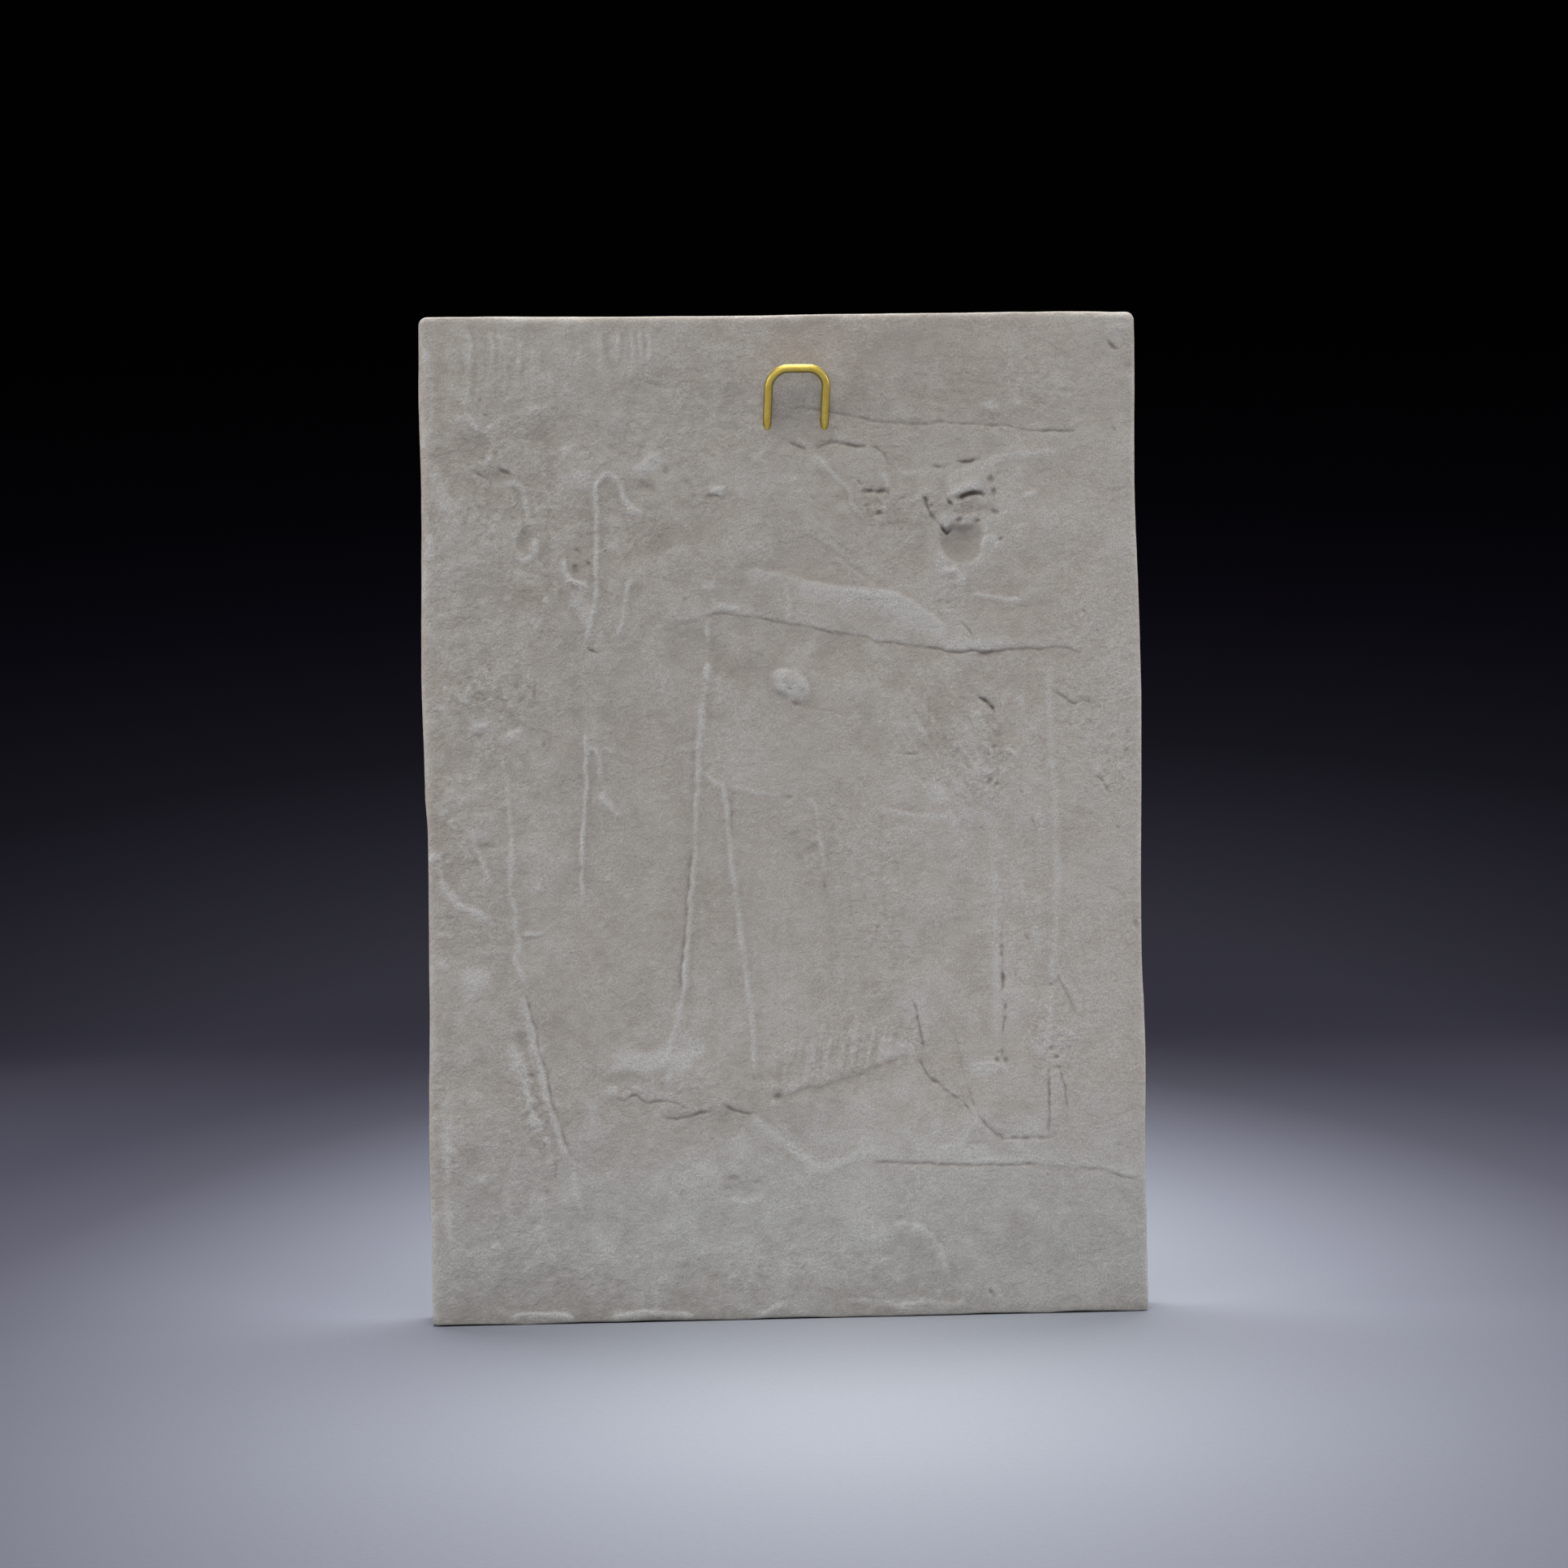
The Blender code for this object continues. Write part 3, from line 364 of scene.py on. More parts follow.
longRidges = {
    "ridges": [
        (0.3, 0.65, 0.65, [
            (39.5, 70), (39.4, 68.5), (39.6, 66), (39.5, 64.8), (39.2, 63), (38.9, 62), (38.6, 60.5),
            (38.5, 59), (38.1, 58), (38, 56), (37.95, 54.5), (37.9, 53), (37.6, 51.5), (37.5, 48.5),
            (37.2, 45.5), (37, 44), (36.7, 42.5), (36.5, 41), (36.3, 39), (36.1, 37.5), (35.9, 36),
            (35.7, 34.5), (35.5, 33), (35.1, 31.5), (34.7, 30.3), (34.2, 29), (33.6, 27.5), (33, 26),
            (31.5, 25),
        ]),
        (0.3, 0.65, 0.65, [
            (38.2, 54), (39.1, 54.3), (39.6, 53.8), (40.3, 53.5), (41.3, 53.2), (41.6, 52.5), (41.8, 51),
            (41.95, 49.5), (42.1, 48), (42.3, 46.5), (42.5, 45), (42.75, 43.5), (42.95, 42), (43.1, 41),
            (43.4, 39.3), (43.6, 38), (43.9, 36.5), (44.05, 35.3), (44.35, 34), (44.5, 32.5), (44.8, 31),
            (44.95, 29.5), (45, 28.5), (45.2, 26.5), (45.4, 23.5),
        ]),
        (0.22, 0.6, 0.6, [(41.6, 53.1), (43, 52.95), (44.5, 52.7), (46, 52.4), (48, 52.2), (49.6, 52.1)]),
        (0.25, 0.6, 0.6, [
            (52.3, 51.7), (53.3, 51.6), (54, 51.3), (54.4, 50.7), (54.6, 49.5), (54.8, 48.3), (55, 47),
            (55.2, 45.5), (55.3, 44.3), (55.7, 43.9),
        ]),
        (0.16, 0.5, 0.9, [(62.5, 51), (64, 50.6), (66, 50.2), (70, 49.9), (72, 49.7), (75, 49.5)]),
        (0.14, 0.6, 0.6, [(72.7, 50.7), (73.3, 49.8), (74.1, 48.5)]),
        (0.12, 0.5, 0.5, [(58.3, 50.5), (58.5, 49.5)]),
        (0.18, 0.7, 0.7, [(40.5, 56), (41.2, 55.8)]),
        (0.45, 0.45, 0.5, [
            (22.4, 59), (22.3, 57.5), (22.4, 56.3), (22.3, 55), (22.35, 54), (22.3, 52.5), (22.2, 51),
            (22, 50), (21.8, 48.5), (21.7, 47), (21.65, 45.5), (21.6, 44), (21.6, 42.5), (21.5, 41.9),
            (21.1, 41.7), (20.5, 41.85), (20.1, 41.8),
        ]),
        (0.5, 0.6, 0.6, [
            (22.4, 56), (22.8, 56.8), (23.3, 57), (23.9, 56.7), (24.2, 56.1), (24.3, 55), (24.3, 53.2),
        ]),
        (0.34, 0.7, 0.9, [(24.4, 53), (24.9, 52), (25.4, 51.5), (26.2, 50.8), (27.4, 50)]),
    ],
    "cracks": [
        (0.28, 0.45, [
            (36.8, 47), (36.6, 44.5), (36.2, 43), (35.95, 41), (35.8, 39), (35.5, 37), (35.3, 35.5),
            (35.1, 33.8), (34.9, 32.3),
        ]),
        (0.14, 0.6, [(37.5, 59), (37.3, 57), (37.2, 53), (37, 50)]),
        (0.16, 0.5, [(42.5, 52.5), (42.5, 50), (42.7, 48)]),
        (0.3, 0.4, [(50, 51.9), (51.5, 51.9)]),
        (0.3, 0.4, [(55.3, 43.7), (55.6, 42.3)]),
        (0.16, 0.6, [(53.5, 51), (54.2, 50), (54.3, 48.5)]),
        (0.3, 0.4, [(36.8, 26.9), (37.8, 26.7)]),
        (0.15, 0.4, [(63, 51), (64.2, 50.8), (67, 50.4), (70, 50.2)]),
        (0.2, 0.4, [(61, 42.4), (61.3, 41.3)]),
        (0.2, 0.4, [(65.1, 45.3), (66, 45)]),
    ],
    "mounds": [
        (0.3, (39.5, 64.8), (1.0, 1.3)), (0.32, (38.6, 60.5), (0.9, 1.2)), (0.3, (38.5, 59), (0.9, 1.2)),
        (0.28, (41.6, 62.5), (4.2, 6.0), 0, 3), (0.45, (30, 25.8), (10.0, 3.4), 5, 3),
        (-0.16, (54, 46.8), (1.8, 1.2)), (-0.14, (51.8, 46), (1.2, 0.9)), (-0.14, (51.2, 48.3), (1.2, 0.9)),
        (0.15, (57.8, 48.8), (0.6, 0.8)), (0.15, (59.8, 47.6), (0.6, 0.8)), (0.15, (60.2, 46.3), (0.6, 0.8)),
        (0.18, (62.6, 44.5), (0.8, 1.0)), (0.18, (61.6, 37.5), (0.8, 1.0)),
        (-0.35, (36.8, 67.2), (7.5, 7.0), 0, 3),
    ],
    "drags": [(0.04, 1, 96, (61, 43), (16, 26)), (0.03, 1.6, 88, (46, 36), (30, 40))],
    "crumbs": [(0.09, 1.2, (59, 47), (16, 14)), (0.08, 1.1, (64, 37), (8, 20))],
    "tints": [
        (-0.2, (28, 46), (12, 16)), (0.15, (48, 40), (12, 30)), (-0.2, (52, 47.5), (6, 8)),
        (-0.25, (36.4, 48), (3, 14)), (0.25, (71.5, 52), (4, 1.8), -60), (0.25, (61, 45), (5, 8)),
        (-0.2, (60, 31), (16, 9)), (0.35, (23.3, 56.8), (2, 1.4)), (0.6, (26, 51.4), (5.5, 1.1), -42),
        (0.8, (39.4, 64.6), (1.6, 2)), (1.1, (38.6, 59.7), (1.2, 2.8)), (0.3, (42, 62.5), (5, 5)),
        (0.3, (71, 49.8), (6, 1), -3), (-0.3, (55.5, 43.4), (0.8, 2)), (-0.2, (40.5, 54.8), (2, 3)),
    ],
}

leftSide = {
    "ridges": [
        (0.25, 0.8, 0.8, [(1.5, 61), (2.3, 61.3), (3.5, 60.9)]),
        (0.3, 0.7, 1.6, [(10.5, 58.6), (11.2, 58.2), (12, 58.4), (13, 58.8), (14.2, 59)]),
        (0.2, 0.7, 1.0, [(12.2, 55.6), (13.8, 55.7)]),
        (0.24, 0.65, 0.65, [
            (10.7, 57), (10.9, 56), (11.1, 55), (11.4, 53.5), (11.5, 52), (11.6, 50), (11.8, 48.5),
            (11.8, 46.5), (11.85, 45.2), (11.5, 44), (11.6, 43), (11.8, 42), (12.2, 41), (12.3, 40),
            (12.3, 39), (12.7, 38.3), (12.8, 37.2), (12.2, 36.3), (12.7, 35.2), (13.2, 34), (13.4, 33.5),
        ]),
        (0.55, 1.0, 1.5, [
            (1.6, 44.8), (2.4, 43.8), (3.3, 42.9), (4, 42.1), (4.8, 41.6), (5.8, 41.3), (6.8, 41),
            (7.8, 40.5), (9.6, 39.9),
        ]),
        (0.22, 0.8, 0.8, [(2.3, 43.8), (2, 45.5), (1.4, 46.4)]),
        (0.34, 0.7, 0.7, [(6, 49.8), (6.5, 48.8), (6.8, 47.8), (7.2, 46.8), (8, 45.5), (8.7, 44), (9, 43.2)]),
        (0.22, 0.8, 1.0, [(1, 38.7), (2.5, 38.8), (4, 38.5)]),
        (0.3, 0.6, 0.9, [(13.2, 38.4), (14.5, 38.7), (16.2, 38.9)]),
        (0.25, 0.4, 1.9, [
            (13.2, 33.2), (13.6, 31.5), (14.2, 29.5), (14.6, 28), (14.9, 26.4), (15.5, 25), (16, 23.6),
            (16.4, 22), (16.9, 20.7), (17.6, 19.2), (18.2, 17.8), (19, 16.4),
        ]),
        (0.26, 1.2, 1.2, [
            (12.4, 27), (13, 24.8), (13.6, 22.8), (14.5, 20.6), (15.7, 18.6), (16.7, 16.8), (17.3, 14.8),
        ]),
        (0.18, 0.7, 0.9, [(2.4, 20), (2.6, 17.5), (2.2, 14), (2.5, 10), (2.8, 7.5)]),
        (0.3, 0.7, 0.9, [(8.2, 7.8), (9.7, 8)]),
        (0.2, 0.7, 0.7, [(19.6, 15.5), (20.2, 13), (20.9, 11), (21.6, 9.6)]),
        (0.18, 0.9, 0.9, [(2.5, 18), (3.5, 17), (4, 16.8)]),
        (0.18, 0.7, 0.9, [(24.2, 23.2), (25.5, 23.2), (26.5, 22.8)]),
    ],
    "cracks": [
        (0.3, 0.45, [(7.5, 62.8), (8.3, 62.4)]),
        (0.2, 0.45, [(16.7, 58), (16.4, 56.8)]),
        (0.2, 0.5, [(1, 40.5), (5, 40.5)]),
        (0.2, 0.5, [(1.5, 37.4), (3.8, 37.4)]),
        (0.3, 0.45, [(13.2, 38.1), (14.5, 38.3), (16.2, 38.5)]),
        (0.25, 0.45, [(6.2, 31.7), (7, 32.2), (7.8, 32.5)]),
        (0.34, 0.4, [
            (13.7, 33), (13.8, 32.2), (14.1, 31.5), (14.4, 30.6), (14.8, 29.6), (15, 28.8), (15.1, 28),
            (15.3, 27), (15.7, 26.2), (16.2, 25.3), (16.4, 24.4), (16.8, 23.2), (17, 22), (17.5, 21),
            (17.9, 20), (18.4, 18.8), (18.8, 17.8), (19.3, 17), (19.8, 16.3),
        ]),
        (0.35, 0.5, [(15.5, 18), (16.2, 17.7)]),
        (0.45, 0.4, [(17.5, 16.5), (17.4, 15.2), (17.3, 14)]),
        (0.25, 0.5, [(2.5, 16.4), (3.5, 16.2)]),
    ],
    "mounds": [
        (0.35, (7, 59.4), (1.3, 1.0)), (0.35, (8.2, 59.4), (1.2, 1.0)), (-0.25, (7.8, 58.4), (1.2, 0.7)),
        (0.2, (5.5, 62), (1.2, 0.9)), (0.2, (7.5, 64.5), (1.2, 0.9)), (-0.25, (12.8, 63.3), (0.9, 0.7)),
        (-0.25, (1, 62.5), (0.9, 0.7)), (0.25, (15.5, 43.3), (1.0, 1.2)), (0.28, (13.7, 38.8), (1.2, 0.7)),
        (0.2, (5, 52.2), (1.3, 1.0)), (0.2, (7.8, 53.2), (1.3, 1.0)), (0.45, (1.2, 46.5), (2.0, 1.4), 0, 3),
        (-0.25, (8.2, 47.5), (2.6, 1.2)), (0.32, (6.7, 34), (4.6, 4.6), 0, 4), (0.18, (9, 30.8), (1.4, 1.2)),
        (-0.6, (12.9, 28), (1.8, 2.6), 15, 3), (0.3, (12.5, 25.8), (1.1, 1.0)),
        (0.3, (14.7, 19.9), (1.8, 1.1)), (0.35, (16.4, 18.3), (1.1, 0.9)), (-0.3, (16.2, 13), (0.9, 0.9)),
        (0.35, (18.8, 12.6), (4.4, 4.2)), (0.18, (7.3, 14.5), (1.2, 1.0)),
    ],
    "crumbs": [
        (0.13, 1.5, (9, 62), (13, 13)), (0.1, 1.5, (6, 46), (13, 34)), (0.13, 1.2, (14.5, 22), (5, 22), 16),
        (0.07, 3.0, (10, 18), (26, 40)),
    ],
    "tints": [
        (0.3, (8.5, 59.6), (5, 2)), (-0.3, (10.5, 63), (6, 3)), (0.4, (1, 46.3), (1.8, 1.6)),
        (0.7, (6.3, 34.8), (5, 4.5)), (0.35, (5.8, 31.4), (4, 3), 30), (0.3, (17, 37), (7, 6)),
        (1.0, (13.3, 23.8), (12, 1.7), -77), (0.9, (15.2, 26.8), (14, 1.1), -79),
        (0.9, (17.7, 19.4), (10, 1.2), -71), (-0.5, (14.5, 23.6), (10, 0.7), -77),
        (0.8, (14.8, 19.6), (2.4, 2)), (0.7, (16.1, 18.2), (1.6, 1)), (-0.4, (17.4, 15.2), (1, 4)),
        (0.5, (20, 13.6), (6, 5)), (-0.4, (12.9, 27.8), (1.6, 3)), (0.4, (2.3, 17), (1.4, 14)),
        (-0.2, (16.6, 29.5), (12, 3), -72), (0.5, (7.6, 14.6), (2.4, 1.2)), (0.2, (3.5, 51), (6, 8)),
        (0.3, (15, 43.4), (3, 1.8)), (0.35, (3.2, 42.6), (6, 1.6), -35), (0.2, (11.6, 45), (1.6, 5)),
        (0.45, (9, 7.8), (2.5, 1.2)), (0.5, (11.8, 45), (1, 2)), (0.5, (12.2, 58.7), (4, 1), 10),
    ],
}

patchEdge = {
    "ridges": [
        (0.16, 2.6, 0.4, [
            (25, 22.7), (27, 22.3), (27.8, 22.7), (28.7, 22.8), (30.2, 22.1), (33, 22.2), (34.7, 21.7),
            (36.3, 21.4),
        ]),
        (0.16, 2.4, 0.4, [
            (33, 21.2), (36, 20.7), (38, 21), (39.7, 21.3), (41, 21.6), (43, 21), (45.3, 20.8),
        ]),
        (0.22, 5.5, 0.8, [
            (48.5, 22.4), (51.5, 23.1), (53.7, 23.4), (56.5, 23.8), (58.8, 24.4), (60.3, 24.8), (63.5, 25.7),
            (67.8, 26.5),
        ]),
        (0.24, 1.0, 0.5, [(71, 23.3), (73, 22), (75.5, 20.4), (76.6, 19.8)]),
        (0.35, 0.7, 2.6, [(75, 24.8), (76.5, 25), (79.8, 25.1)]),
        (0.25, 0.9, 1.6, [(44, 20.6), (46.5, 19.2), (48, 18.3), (49.5, 17.6)]),
        (0.35, 1.4, 1.2, [
            (48.5, 18), (50.5, 16.8), (52, 16), (53, 15.3), (54, 14.85), (55.3, 15), (57, 15.3), (58.5, 15.9),
            (60, 16.4), (61.5, 16.5), (62.7, 16.4),
        ]),
        (0.2, 3.0, 0.4, [
            (60, 15.8), (63.5, 15.7), (67, 15.5), (71, 15.3), (76, 15.2), (80, 15.15), (85, 15.1), (90, 14.8),
            (94, 14.4), (97.5, 13.6), (99.5, 13.3),
        ]),
        (0.25, 0.6, 1.8, [(70.3, 16.6), (72, 16.9), (74, 16.8)]),
        (0.2, 0.6, 1.8, [(74.5, 16.5), (76, 16.8), (78, 16.7)]),
        (0.36, 1.2, 0.5, [
            (40.7, 12), (42, 11.8), (43.5, 11.65), (45, 11.8), (46, 12.2), (46.6, 12.8), (47, 13.3),
        ]),
        (0.14, 0.7, 1.6, [(60.5, 7), (61.5, 8), (63, 8.8), (64.5, 9.1)]),
        (0.34, 0.6, 1.4, [
            (63.5, 9), (66, 9.3), (67.2, 9), (68.8, 8.4), (69.8, 7.8), (70.6, 6.9), (71.2, 5.9), (71.8, 4.5),
            (72.2, 3.2),
        ]),
        (0.12, 0.7, 0.9, [(32.5, 13), (33.5, 12.5), (34.5, 11.7)]),
    ],
    "cracks": [
        (0.42, 0.35, [
            (25, 22.4), (26, 22.2), (27, 21.9), (27.8, 22.4), (28.7, 22.5), (29.3, 22.1), (30.2, 21.8),
            (31.5, 21.9), (33, 21.9), (34, 21.7), (34.7, 21.4), (35.5, 21.2), (36.3, 21.2),
        ]),
        (0.45, 0.4, [(32, 20.3), (34, 20.1), (36, 20.3), (37, 20.5), (38, 20.7), (39, 20.8), (39.7, 21)]),
        (0.5, 0.35, [(40.2, 21.6), (41, 21.3), (42, 21), (43, 20.7), (44, 20.5), (45.3, 20.5)]),
        (0.16, 0.9, [
            (48.5, 22), (50, 22.2), (51.5, 22.7), (52.2, 23), (53.7, 23), (55, 23.1), (56.5, 23.4),
            (57.5, 23.9), (58.8, 24), (59.7, 23.8), (60.3, 24.4), (62, 24.9), (63.5, 25.3), (65, 25.6),
            (66.5, 25.95), (67.8, 26.1),
        ]),
        (0.4, 0.42, [
            (67.8, 26.1), (68.5, 25.3), (69.2, 24.3), (70, 23.5), (71, 23.1), (72, 22.4), (73, 21.8),
            (74, 21.5), (74.8, 20.9), (75.5, 20.2), (76, 19.7),
        ]),
        (0.32, 0.4, [(67.5, 31.8), (68, 30.3), (68.4, 28.8), (68.7, 27.5), (68.9, 26)]),
        (0.25, 0.4, [
            (73, 29), (73.5, 27.3), (74, 25.5), (74.5, 24), (75.2, 22.5), (75.8, 21.2), (76.2, 20.2),
        ]),
        (0.34, 0.42, [
            (76, 20), (76.6, 19.6), (77.5, 18.9), (78.7, 18.2), (79.6, 17.7), (80, 17.5), (82, 17.6),
            (84, 17.55), (85.3, 17.5), (86.3, 17.6), (87.5, 17.8),
        ]),
        (0.1, 0.4, [(92, 18.5), (94, 19), (96, 19.6), (98.5, 20.4)]),
        (0.35, 0.4, [(86.4, 24.2), (86.45, 23), (86.4, 21.5), (86.35, 20), (86.3, 18.5), (86.2, 17.7)]),
        (0.3, 0.4, [(87.9, 24.7), (88.2, 23.8), (88.6, 22.6), (88.9, 21.3), (89.3, 20)]),
        (0.28, 0.42, [
            (61.5, 15.4), (63.5, 15.4), (65, 15.3), (67, 15.25), (69, 15.2), (71, 15.05), (75, 15),
            (76, 14.95), (80, 14.9), (85, 14.9),
        ]),
        (0.25, 0.4, [
            (90.5, 14.5), (92, 14.3), (93, 14.4), (94, 14.2), (95.5, 13.8), (97.5, 13.4), (99.5, 13.1),
        ]),
        (0.3, 0.4, [(74.3, 17.1), (76, 17.2), (77.5, 17.1)]),
        (0.3, 0.4, [(95, 16.8), (96.5, 16.6), (98.3, 16.1)]),
        (0.12, 0.4, [(87, 10.9), (91, 10.7)]),
        (0.6, 0.5, [(77.4, 2.7), (78, 2.1), (78.4, 1.5)]),
    ],
    "mounds": [
        (-0.8, (48.4, 22.1), (1.0, 0.9)), (0.3, (47.8, 21.5), (1.0, 0.7)),
        (-0.5, (70.3, 23.3), (0.9, 0.6), -40), (-0.5, (68.8, 27), (0.6, 0.6)),
        (-0.25, (43.6, 13.2), (6.0, 3.0)), (-0.3, (42, 14.1), (1.4, 0.8)), (-0.3, (45.2, 13.6), (1.2, 0.8)),
        (-0.25, (41.3, 12.9), (1.0, 0.7)), (0.2, (62.8, 5.7), (1.4, 1.2)), (0.3, (62, 2.2), (1.6, 1.0)),
        (0.25, (66, 1.3), (1.4, 0.9)), (0.25, (68, 1.7), (1.2, 0.9)),
    ],
    "drags": [(0.12, 1.1, 80, (58, 26.5), (24, 8), 12), (0.05, 1.4, 75, (74, 20), (12, 10))],
    "crumbs": [
        (0.12, 1.4, (34, 22.5), (20, 7)), (0.06, 2.2, (40, 6), (80, 14)), (0.09, 1.1, (60, 27), (24, 8), 10),
    ],
    "tints": [
        (0.8, (30, 25.8), (12, 3), 3), (0.8, (33.6, 27), (5, 3.4), 60), (0.5, (37, 26.6), (3, 3)),
        (0.5, (34.8, 29.5), (1.4, 5)), (0.4, (28, 26.8), (8, 2)), (0.9, (25.6, 23), (3, 1.6), -20),
        (0.3, (28.5, 23.4), (3, 1.6)), (-0.45, (36, 20.6), (8, 1.4), 5), (0.35, (33.7, 12.2), (2.5, 2)),
        (0.25, (36, 14.5), (26, 6)), (-0.15, (25, 4.5), (40, 7)), (0.5, (50, 17), (9, 3), -38),
        (-0.3, (42, 14.2), (3, 1.2), -20), (0.5, (43.8, 11.8), (6, 0.9)), (1.0, (77.3, 24.3), (5, 2.2), 5),
        (0.8, (58.5, 16), (7, 1.2), 14), (0.6, (52.4, 15.7), (6, 1.2), -28), (1.1, (72.3, 16.4), (3.4, 1.5)),
        (1.2, (76, 16.1), (3.4, 2)), (-0.2, (65.5, 5), (7, 6)), (0.4, (69.3, 8.2), (2.6, 1.2), -30),
        (0.3, (78, 3.6), (1.4, 3)), (0.25, (76, 5.5), (9, 2), -65), (-0.35, (58, 23.8), (21, 1.6), 13),
        (0.3, (62, 22), (20, 4), 12), (0.2, (68, 29.5), (8, 5)), (0.25, (60, 18), (30, 3)),
        (-0.2, (85, 8), (18, 10)),
    ],
}

